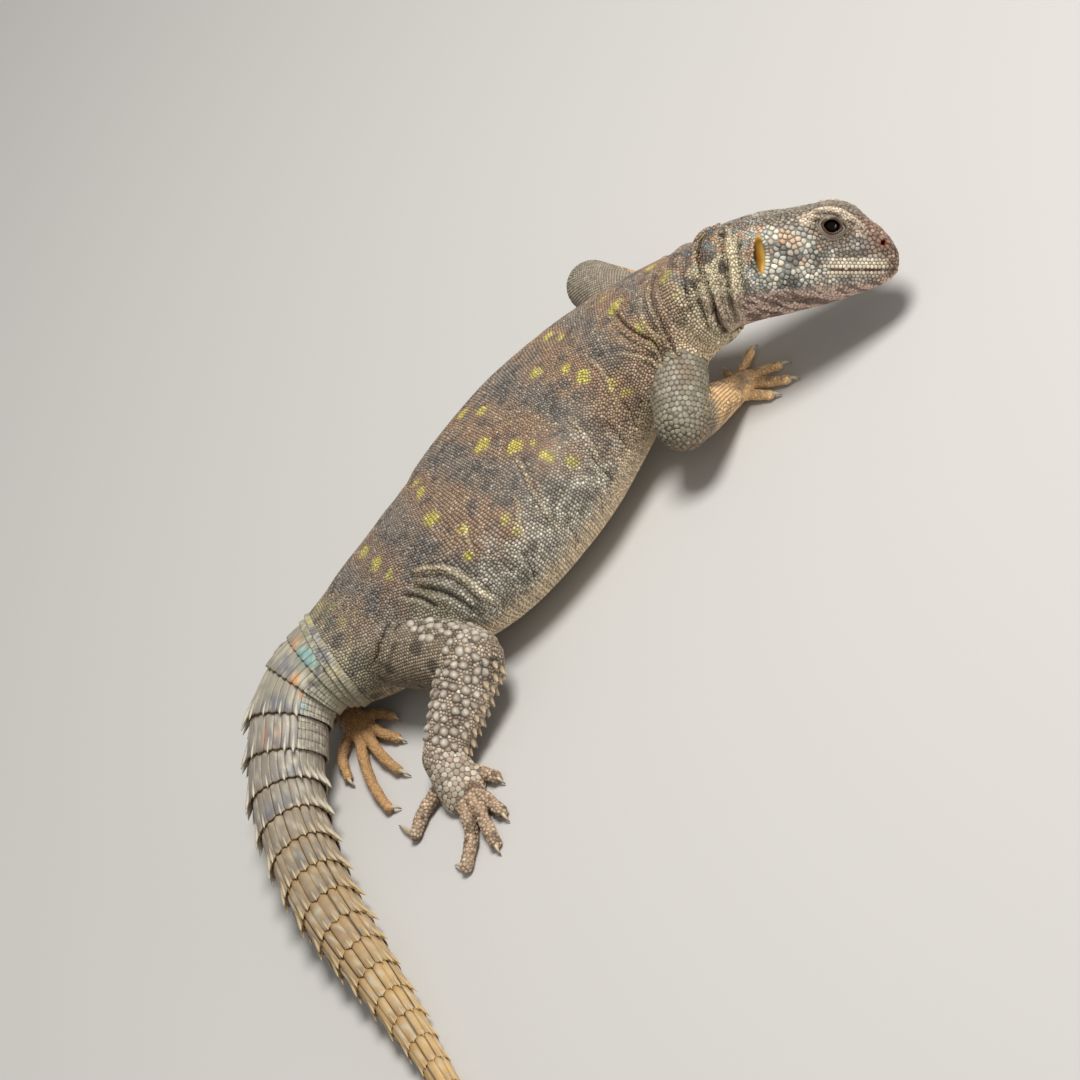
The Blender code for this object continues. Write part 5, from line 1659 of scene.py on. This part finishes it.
def tail_spine(start, pitch, angle, flare, small, side, bold):
    """A keel that rises from the middle of a scale and runs out over its rear edge as a spine."""
    reach = 0.07 + 0.15 * side
    along = np.array([0.40, 0.62, 0.82, 0.96, 1.0 + 0.45 * reach, 1.0 + reach])
    rise = side * np.array([0.0, 0.05, 0.25, 0.60, 1.05, 1.45])
    lift = np.array([-0.20, -0.08, 0.00, 0.06, 0.12, 0.16]) + rise
    radius = small * np.array([0.12, 0.20, 0.25, 0.26, 0.16, 0.03]) * (1 + 1.5 * side)
    scale = np.interp(along, (0.0, 0.5, 1.0), (flare[0], sum(flare) / 2, flare[1]))
    path = body_rings(start + along * pitch, np.array([angle]), (small * lift)[:, None], scale)[:, 0]
    rings = tube_rings(path, radius * (1 + 0.7 * bold * (1 - side)), 6, 9, pointed=True)
    return clamp(rings, LOWEST_SCALE)


# Shares of the tail's length from root to tip, at which it has the colours of the palette's tail.
TAIL_SHARES = (0.0, 0.05, 0.12, 0.25, 0.40, 0.55, 0.70, 1.0)

# Patches of the tail: length, degrees, half length, half width in degrees, percent of sRGB and share.
TAIL_PATCHES = (
    (144, 23, 1.9, 18, (42, 62, 62), 0.8), (143.6, 48, 2, 6, (26, 25, 26), 0.75),
    (139.6, 8, 1.6, 10, (38, 38, 42), 0.8), (140.6, 34, 1.6, 12, (36, 36, 40), 0.8),
    (139.2, -14, 1.6, 8, (68, 64, 40), 0.7), (140.8, 60, 1.5, 10, (70, 66, 50), 0.6),
    (144.6, -4, 1.6, 6, (76, 54, 38), 0.7), (150, 33, 1.6, 7, (82, 56, 34), 0.8),
    (149, 8, 2.6, 16, (44, 46, 50), 0.6), (148.4, 58, 2.2, 12, (30, 29, 29), 0.75),
    (158.6, 18, 2.2, 26, (36, 39, 44), 0.7), (157.5, 56, 2.6, 10, (52, 62, 62), 0.65),
    (153.5, 50, 1.6, 4, (80, 58, 38), 0.7), (165.8, 2, 3, 3.5, (72, 53, 42), 0.7),
    (166.6, 17, 3, 3.5, (74, 55, 43), 0.7), (178, 30, 2.2, 30, (42, 42, 44), 0.5),
    (187, 10, 2.4, 26, (42, 43, 46), 0.5), (207, 2, 2, 20, (44, 43, 42), 0.45),
    (217, 0, 1.6, 18, (46, 43, 39), 0.45), (246, -10, 1.6, 16, (40, 36, 32), 0.5),
)


def tail_colour(lengths, degrees, random):
    """Grey-beige that warms to tan along the tail, with the coloured patches of its first whorls."""
    share = (lengths - TAIL_LENGTH) / (BODY_KNOTS[-1] - TAIL_LENGTH)
    table = linear(PALETTES["tail"])
    colour = np.stack([np.interp(share, TAIL_SHARES, table[:, k]) for k in range(3)], -1)
    colour = colour * (1 + 0.16 * (random - 0.5))[..., None]
    for length, turn, half, wide, patch, weight in TAIL_PATCHES:
        apart = np.hypot((lengths - length) / half, (degrees - turn) / wide)
        colour = blend(colour, linear(patch), weight * (1 - ease(0.75, 1.2, apart)))
    return blend(colour, plain("tail_below"), ease(105, 130, np.abs(degrees)))


def add_tail_part(pile, rings, colours, local, length, angle):
    """Adds one plate or spine, with its patch of the UV map at its place on the trunk's strip."""
    root = np.array(trunk_strip(length, angle / (2 * math.pi) % 1.0))
    colours, local = colours.reshape(-1, 3), local.reshape(-1, 2)
    ends = [0, -1]
    uvs = root + UV_PLATE * np.concatenate([local, local[ends]])
    pile.add(*capped(rings), np.concatenate([colours, colours[ends]]), uvs)


def add_plate(pile, start, pitch, angle, half, flare, small, step, bold=0.0):
    """Adds one plate: the tail's colour with pale and grey specks, a tan edge, and painted shade at its
    front, its side edges and below.
    """
    rings = tail_plate(start, pitch, angle, half, flare, small, bold)
    along = PLATE_ALONG[:, None] + 0 * PLATE_ACROSS[None]
    edge = np.abs(PLATE_ACROSS)[None] + 0 * along
    degrees = about_zero(np.degrees(angle + PLATE_ACROSS * half))
    middle = np.full(along.shape, RANDOM.random())
    places = start + along * pitch + RANDOM.uniform(-0.5, 0.5)
    colours = tail_colour(places, degrees[None] + 0 * along, middle)
    spots = rings.reshape(-1, 3)
    pale = 0.6 * ease(0.52, 0.80, noise(spots, 0.8, 41)).reshape(along.shape)
    colours = blend(colours, plain("plate_pale"), pale)
    grey = 0.75 * ease(0.55, 0.75, noise(spots, 2.4, 42)).reshape(along.shape) * ease(0.1, 0.8, along)
    grey = grey * (1 - 0.75 * ease(205, 245, start))
    colours = blend(colours, plain("plate_grey"), grey * step)
    rear = 0.30 * ease(0.62, 0.88, along) * (1 - ease(0.93, 0.99, along)) * RANDOM.uniform(0.2, 1.4)
    colours = blend(colours, plain("plate_rear"), rear * step)
    sides = (0.6 + 0.4 * bold) * ease(0.85 - 0.2 * bold, 1.0, edge)
    border = np.maximum(ease(0.93, 1, along) * step, sides)
    border = np.maximum(border, bold * (1 - ease(0, 0.25, along)))
    colours = blend(colours, plain("plate_edge"), 0.75 * border)
    # Painted shade: darker at the side edges, at the front under the whorl before, and on the underside.
    shade = np.clip(0.12 * ease(0.92, 1, edge) + 0.10 * (1 - ease(-0.08, 0.12, along)), 0, 0.6)
    shade[:, 7:] = 0.4
    local = np.stack([along - 0.5, PLATE_ACROSS[None] + 0 * along], -1)
    add_tail_part(pile, rings, colours * (1 - shade)[..., None], local, start, angle)


def add_thorn(pile, start, pitch, angle, flare, small, side, bold):
    """Adds one keel and spine, which pales from the tail's colour to horn at its tip."""
    rings = tail_spine(start, pitch, angle, flare, small, side, bold)
    part = np.linspace(0, 1, len(rings))[:, None] + np.zeros((1, 6))
    degrees = np.full(part.shape, about_zero(math.degrees(angle)))
    colours = tail_colour(start + pitch * (0.4 + 0.6 * part), degrees, 0.6 + 0 * part)
    tip = plain("spine_tip") * (1 - bold) + plain("late_spine_tip") * bold
    colours = blend(colours, tip, 0.75 * ease(0.3, 0.9, part))
    local = np.stack([part - 0.5, np.tile(np.arange(6) / 6 - 0.5, (len(rings), 1))], -1)
    add_tail_part(pile, rings, colours, local, start + pitch, angle)


# How wide the tail's first whorls are at their front and rear, against the body path's own sizes.
FIRST_FLARES = ((0.99, 1.03), (0.985, 1.02), (0.985, 1.03), (0.97, 1.06))


def make_tail_plates(material):
    """Whorls of flat scales with keels and spines; those low on the sides and below in finer rows."""
    edges = whorl_edges()
    edges = [edges[0] - 3.4, edges[0] - 1.7, edges[0], edges[0] + 3.1, *edges[1:]]
    pile = Pile()
    for number, (start, end) in enumerate(zip(edges, edges[1:]), -2):
        pitch = end - start
        size = body_axes(np.array([(start + end) / 2]))[3][0]
        small = float(np.clip(size[0] / 9.0, 0.22, 1.1))
        perimeter = 2 * math.pi * math.sqrt((size[0] ** 2 + ((size[1] + size[2]) / 2) ** 2) / 2)
        bold = float(ease(168, 220, start))
        plates = 2 * max(5, round(perimeter / (2 * (2.0 + 0.9 * bold) * (0.45 + 0.55 * min(small, 1)))))
        half = math.pi / plates
        last = end > BODY_KNOTS[-1] - 1e-6
        flare = (0.970 + 0.012 * bold, 1.066 - 0.018 * bold) if number > 1 else FIRST_FLARES[number + 2]
        flare = (0.955, 0.90) if last else flare
        for index in range(plates):
            turn = index + 0.5 * (number % 2) + bold * RANDOM.uniform(-0.12, 0.12)
            angle = (turn * 2 * math.pi / plates + math.pi) % (2 * math.pi) - math.pi
            low_side = abs(angle) > 1.9
            small_side = number < 0 or number < 4 and 0.98 < angle <= 1.9
            side = math.sin(angle) ** 2 * float(not low_side)
            if small_side or low_side:
                rows = max(1, round(pitch / (2.3 if small_side else 4.6)))
                for row in range(rows):
                    front, rear = np.interp([row / rows, (row + 1) / rows], (0, 1), flare)
                    for part in (-0.5, 0.5):
                        add_plate(
                            pile, start + row * pitch / rows, pitch / rows, angle + part * half,
                            half / 2, (front - 0.004, rear + 0.012), 0.7 * small, 0.25,
                        )
            else:
                add_plate(pile, start, pitch, angle, half, flare, small, 1.0, bold)
                if number > 1 and not last and (index % 2 == 0 or side > 0.45 or bold > 0.5):
                    add_thorn(pile, start, pitch, angle, flare, small, side, bold)
    pile.make("tail_plates", material)


def make_claws(material):
    """Arched, pointed claws that darken to their tips."""
    pile = Pile()
    for name, toes in TOES.items():
        base = plain("hind_claw" if "leg" in name else "front_claw")
        for toe in toes:
            points, _ = toe_points(toe, TOE_RADIUS[name])
            root, tip = points[-1], np.array([*toe[-1], CLAW_TIP_HEIGHT])
            path = (root, root + (tip - root) * 0.55 + [0.0, 0.0, CLAW_ARCH], tip)
            radii = (CLAW_RADIUS - 0.1, 0.55 * CLAW_RADIUS, CLAW_TIP_RADIUS)
            rings = clamp(tube_rings(path, radii, 10, 12, pointed=True))
            along = np.concatenate([np.repeat(np.linspace(0, 1, len(rings)), rings.shape[1]), [0.0, 1.0]])
            horn = blend(base, plain("horn"), ease(0.15, 0.5, along))
            pile.add(*capped(rings), blend(horn, plain("claw_tip"), ease(0.7, 1, along)))
    pile.make("claws", material)


def make_lids(material, skin_mesh):
    """Rolls of skin round each eye: tubes on the almond's outline, finely beaded along their length, with
    painted light where they face outwards and painted shade on their sides.
    """
    points, _, triangles = skin_mesh
    tree = surface_of(points, triangles)
    pile = Pile()
    angle, turn = np.linspace(0, 2 * math.pi, 181)[:-1], circle(8)
    faces = halved(grid_faces(len(angle) + 1, len(turn)) % (len(angle) * len(turn)))
    for side in (1, -1):
        for number, (size, radius, sink) in enumerate(LID_ROLLS):
            path = eye_shape(angle, size)
            outward = unit(path - EYE)
            if number:
                path = on_side(body_to_head(laid_on(tree, placed(path, side))), side)
                path = sum(np.roll(path, step, 0) for step in range(-4, 5)) / 9
            path = path - outward * sink
            across = np.cross(unit(np.roll(path, -1, 0) - np.roll(path, 1, 0)), outward)
            beads = 1 + 0.10 * np.sin(angle * round(2 * math.pi * size * 1.9 / 0.42)) * (number > 0)
            rings = path[:, None] + (radius * beads)[:, None, None] * spokes(outward, 1.25 * across, turn)
            rings = placed(rings, side)
            first, after, ahead = rings[0, 0], rings[0, 1], rings[1, 0]
            outside = (first - rings[0].mean(0)) @ np.cross(after - first, ahead - first)
            colour = plain("lid") * (1.0 if number % 2 else 0.86) if number else plain("lid_rim")
            streaks = (0.85 + 0.15 * np.sin(angle * 31))[:, None]
            # Painted light: each roll is brightest where it faces outwards, with painted shade round its
            # sides and underside.
            painted_light = 0.45 + 0.55 * np.clip(np.cos(turn), 0, 1)[None] * streaks
            tints = (colour * painted_light[..., None]).reshape(-1, 3)
            pile.add(rings.reshape(-1, 3), faces if outside > 0 else faces[:, ::-1], tints)
    pile.make("eyelids", material)


def make_eyes(material):
    """Eyeballs with a low cornea, a dark pupil and a narrow brown iris, painted by angle from the axis."""
    outward, along, high = eye_axes()
    theta = np.concatenate([np.linspace(0.02, 1.0, 26), np.linspace(1.08, math.pi - 0.05, 14)])[:, None]
    phi = circle(48)[None]
    bulge = EYE_RADIUS * (1 + 0.035 * bell(theta, 0, 0.55, 4)) - 0.03
    local = (
        outward * (bulge * np.cos(theta) + 0 * phi)[..., None]
        + along * (bulge * np.sin(theta) * np.cos(phi))[..., None]
        + high * (bulge * np.sin(theta) * np.sin(phi))[..., None]
    )
    ring = np.concatenate([np.repeat(theta[:, 0], 48), [0.0, math.pi]])
    colour = blend(plain("pupil"), plain("iris"), ease(0.46, 0.54, ring) * (1 - ease(0.66, 0.76, ring)))
    colour = blend(colour, plain("eye_rim"), ease(0.72, 0.8, ring))
    for side, name in ((1, "eye_left"), (-1, "eye_right")):
        points, triangles = capped(placed(EYE + local, side))
        obj = mesh_of(f"eyeball_{name}", points, triangles if side > 0 else triangles[:, ::-1])
        finish_piece(obj, colour, material)
        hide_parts(name)


def skin_colours(points, places, paths):
    """The skin's colours: the scales' markings, darker, as the joints' own colour with painted shade between
    the scales and in the creases, and those of ear, nostril, mouth and lids, with painted shade deep in the
    ear and in the gap round the eye.
    """
    where = places.find(points)
    toes = is_in(where, "foot") & (where["first"] > 1)
    arm = is_in(where, "upper_arm") & (where["side"] < 0)
    tail = is_in(where, "trunk") & (where["first"] > TAIL_LENGTH - 3)
    # Darker under and between the scales: the joints' own dark colour with painted shade.
    under = np.where(fine_feet(where), 0.80, np.where(toes | arm | tail, 0.62, 0.42))
    under = under * crease_shade(points, paths)
    colour = marked(points, where, noise(points, 0.9, 77), paths) * under[:, None]
    head = left_half(body_to_head(points))
    x, y, z = head.T
    near_head = is_in(where, "head") & (x > -4)
    from_ear = z - EAR[2]
    tilt = x - EAR[0] + EAR_LEAN * from_ear
    ear = (np.hypot(tilt / (EAR_HALF_WIDTH + 0.2), from_ear / (EAR_HALF_HEIGHT + 0.2)) < 1) & (y > 6)
    ochre = blend(plain("ear"), plain("ear_front"), ease(-0.4, 0.8, tilt))
    # The deep rear of the ear's opening is painted shade.
    ochre = blend(ochre, plain("ear_deep_shade"), 1 - ease(-1.3, -0.7, tilt))
    colour = np.where((ear & near_head)[:, None], ochre, colour)
    nose = np.linalg.norm((head - NOSTRIL) * [1, 0.25, 1], axis=1)
    colour = blend(colour, plain("nostril"), (1 - ease(0.7, 1.05, nose)) * near_head)
    mouth = (np.abs(z - mouth_line(x)) < 0.5) & (x > MOUTH_CORNER - 0.5) & near_head
    colour = np.where(mouth[:, None], plain("mouth"), colour)
    size, _ = round_the_eye(head)
    # Painted shade in the gap between the lids and the eyeball.
    lid = (1 - ease(1.9, 2.3, size)) * (np.linalg.norm(head - EYE, axis=1) < 4.8) * near_head
    return blend(colour, plain("lid_gap_shade"), lid)


# Materials

def add_node(tree, kind, sockets):
    """A new node with these of its inputs set."""
    node = tree.nodes.new(kind)
    for name, value in sockets.items():
        node.inputs[name].default_value = value
    return node


def grain_group():
    """Node group: fine grain over a tint, a roughness that follows it, and a shallow bump."""
    group = bpy.data.node_groups.new("fine_grain", "ShaderNodeTree")
    for name, direction, kind in (
        ("Tint", "INPUT", "Color"), ("Color", "OUTPUT", "Color"), ("Roughness", "OUTPUT", "Float"),
        ("Normal", "OUTPUT", "Vector"),
    ):
        group.interface.new_socket(name=name, in_out=direction, socket_type="NodeSocket" + kind)
    inputs, outputs = add_node(group, "NodeGroupInput", {}), add_node(group, "NodeGroupOutput", {})
    place = add_node(group, "ShaderNodeTexCoord", {})
    coarse = add_node(group, "ShaderNodeTexNoise", {"Scale": 420.0, "Detail": 3.0})
    fine = add_node(group, "ShaderNodeTexNoise", {"Scale": 2600.0, "Detail": 2.0})
    shade = add_node(group, "ShaderNodeMapRange", {"To Min": 0.80, "To Max": 1.18})
    mixed = add_node(group, "ShaderNodeVectorMath", {})
    mixed.operation = "SCALE"
    rough = add_node(group, "ShaderNodeMapRange", {"To Min": 0.34, "To Max": 0.58})
    bump = add_node(group, "ShaderNodeBump", {"Strength": 0.35, "Distance": 0.00008})
    for source, output, target, socket in (
        (place, "Object", coarse, "Vector"), (place, "Object", fine, "Vector"),
        (coarse, "Fac", shade, "Value"), (inputs, "Tint", mixed, 0), (shade, "Result", mixed, "Scale"),
        (mixed, "Vector", outputs, "Color"), (fine, "Fac", rough, "Value"),
        (rough, "Result", outputs, "Roughness"), (fine, "Fac", bump, "Height"),
        (bump, "Normal", outputs, "Normal"),
    ):
        group.links.new(source.outputs[output], target.inputs[socket])
    return group


def plain_material(name, sockets):
    """A material and its shader, with these sockets of it set."""
    material = bpy.data.materials.new(name)
    material.use_nodes = True
    shader = material.node_tree.nodes["Principled BSDF"]
    for socket, value in sockets.items():
        shader.inputs[socket].default_value = value
    return material, shader


def tinted(name, group=None, **sockets):
    """A material that takes its colour from the tint attribute, through the grain group if given."""
    material, shader = plain_material(name, {key.replace("_", " "): value for key, value in sockets.items()})
    nodes, links = material.node_tree.nodes, material.node_tree.links
    tint = nodes.new("ShaderNodeAttribute")
    tint.attribute_name = "tint"
    if group is None:
        links.new(tint.outputs["Color"], shader.inputs["Base Color"])
        return material
    grain = nodes.new("ShaderNodeGroup")
    grain.node_tree = group
    links.new(tint.outputs["Color"], grain.inputs["Tint"])
    links.new(grain.outputs["Color"], shader.inputs["Base Color"])
    if "Roughness" not in sockets:
        links.new(grain.outputs["Roughness"], shader.inputs["Roughness"])
    links.new(grain.outputs["Normal"], shader.inputs["Normal"])
    return material


# Stage

def camera_axes():
    """The camera's right, up and back directions."""
    elevation, roll = math.radians(CAMERA_ELEVATION), math.radians(CAMERA_ROLL)
    back = np.array([0.0, -math.cos(elevation), math.sin(elevation)])
    level_up = np.array([0.0, math.sin(elevation), math.cos(elevation)])
    return *turned(np.array([1.0, 0.0, 0.0]), level_up, math.cos(roll), math.sin(roll)), back


def aim(obj, place, back, up):
    """Puts a camera or light at a place, facing away from back, with up as its upward side."""
    back = unit(np.asarray(back, float))
    right = unit(np.cross(up, back))
    up = np.cross(back, right)
    rows = np.stack([right, up, back, place], axis=1)
    obj.matrix_world = Matrix([*rows.tolist(), (0.0, 0.0, 0.0, 1.0)])


def make_camera():
    """The camera, CAMERA_DISTANCE from its target along the view's back direction."""
    _, up, back = camera_axes()
    data = bpy.data.cameras.new("camera")
    data.lens, data.sensor_width, data.sensor_fit = CAMERA_LENS, CAMERA_SENSOR, "HORIZONTAL"
    data.clip_start, data.clip_end = 0.01, 20.0
    camera = link(bpy.data.objects.new("camera", data))
    aim(camera, to_world(CAMERA_TARGET + CAMERA_DISTANCE * back), back, up)
    bpy.context.scene.camera = camera


def area_light(name, direction, size, power, colour):
    """A round soft light that faces the target from this direction."""
    data = bpy.data.lights.new(name, "AREA")
    data.shape, data.size, data.energy, data.color = "DISK", size, power, colour
    light = link(bpy.data.objects.new(name, data))
    direction = unit(direction)
    aim(light, to_world(CAMERA_TARGET) + direction * LIGHT_DISTANCE, direction, np.array([0.0, 1.0, 0.1]))


def make_stage():
    """Soft white world, a key light above, a fill light from the right, and a plain floor."""
    world = bpy.data.worlds.new("studio")
    bpy.context.scene.world = world
    world.use_nodes = True
    background = world.node_tree.nodes["Background"]
    background.inputs["Color"].default_value = (1.0, 0.985, 0.96, 1.0)
    background.inputs["Strength"].default_value = 0.34
    right, up, back = camera_axes()
    area_light("key", 1.0 * up - 0.30 * right + 0.85 * back, 0.36, 9.5, (1.0, 0.98, 0.95))
    area_light("fill", 1.0 * right - 0.1 * up + 0.8 * back, 0.6, 9.0, (1.0, 0.98, 0.96))
    mesh = bpy.data.meshes.new("floor")
    corners = [(x * FLOOR_HALF, y * FLOOR_HALF, 0.0) for x, y in ((-1, -1), (1, -1), (1, 1), (-1, 1))]
    mesh.from_pydata(corners, [], [(0, 1, 2, 3)])
    floor = link(bpy.data.objects.new("floor", mesh))
    material, _ = plain_material("pale_floor", {"Base Color": (0.52, 0.51, 0.49, 1.0), "Roughness": 0.8})
    mesh.materials.append(material)
    bpy.context.scene.view_settings.view_transform = "Standard"


def main():
    make_camera()
    make_stage()
    grain = grain_group()
    scale_material = tinted("scale_skin", grain, Specular_IOR_Level=0.45)
    skin_material = tinted("bare_skin", grain, Specular_IOR_Level=0.3)
    horn = tinted("horn", grain, Specular_IOR_Level=0.5, Roughness=0.35)
    skin, paths = make_skin()
    places = Places()
    skin_mesh = read(skin)
    finish_piece(skin, skin_colours(skin_mesh[0], places, paths), skin_material)
    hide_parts(*UNIFORM_NODES)
    make_scales(skin_mesh, places, scale_material, paths)
    make_tail_plates(scale_material)
    make_claws(horn)
    make_lids(scale_material, skin_mesh)
    make_eyes(tinted("wet_eye", Roughness=0.06, Specular_IOR_Level=0.22))


main()
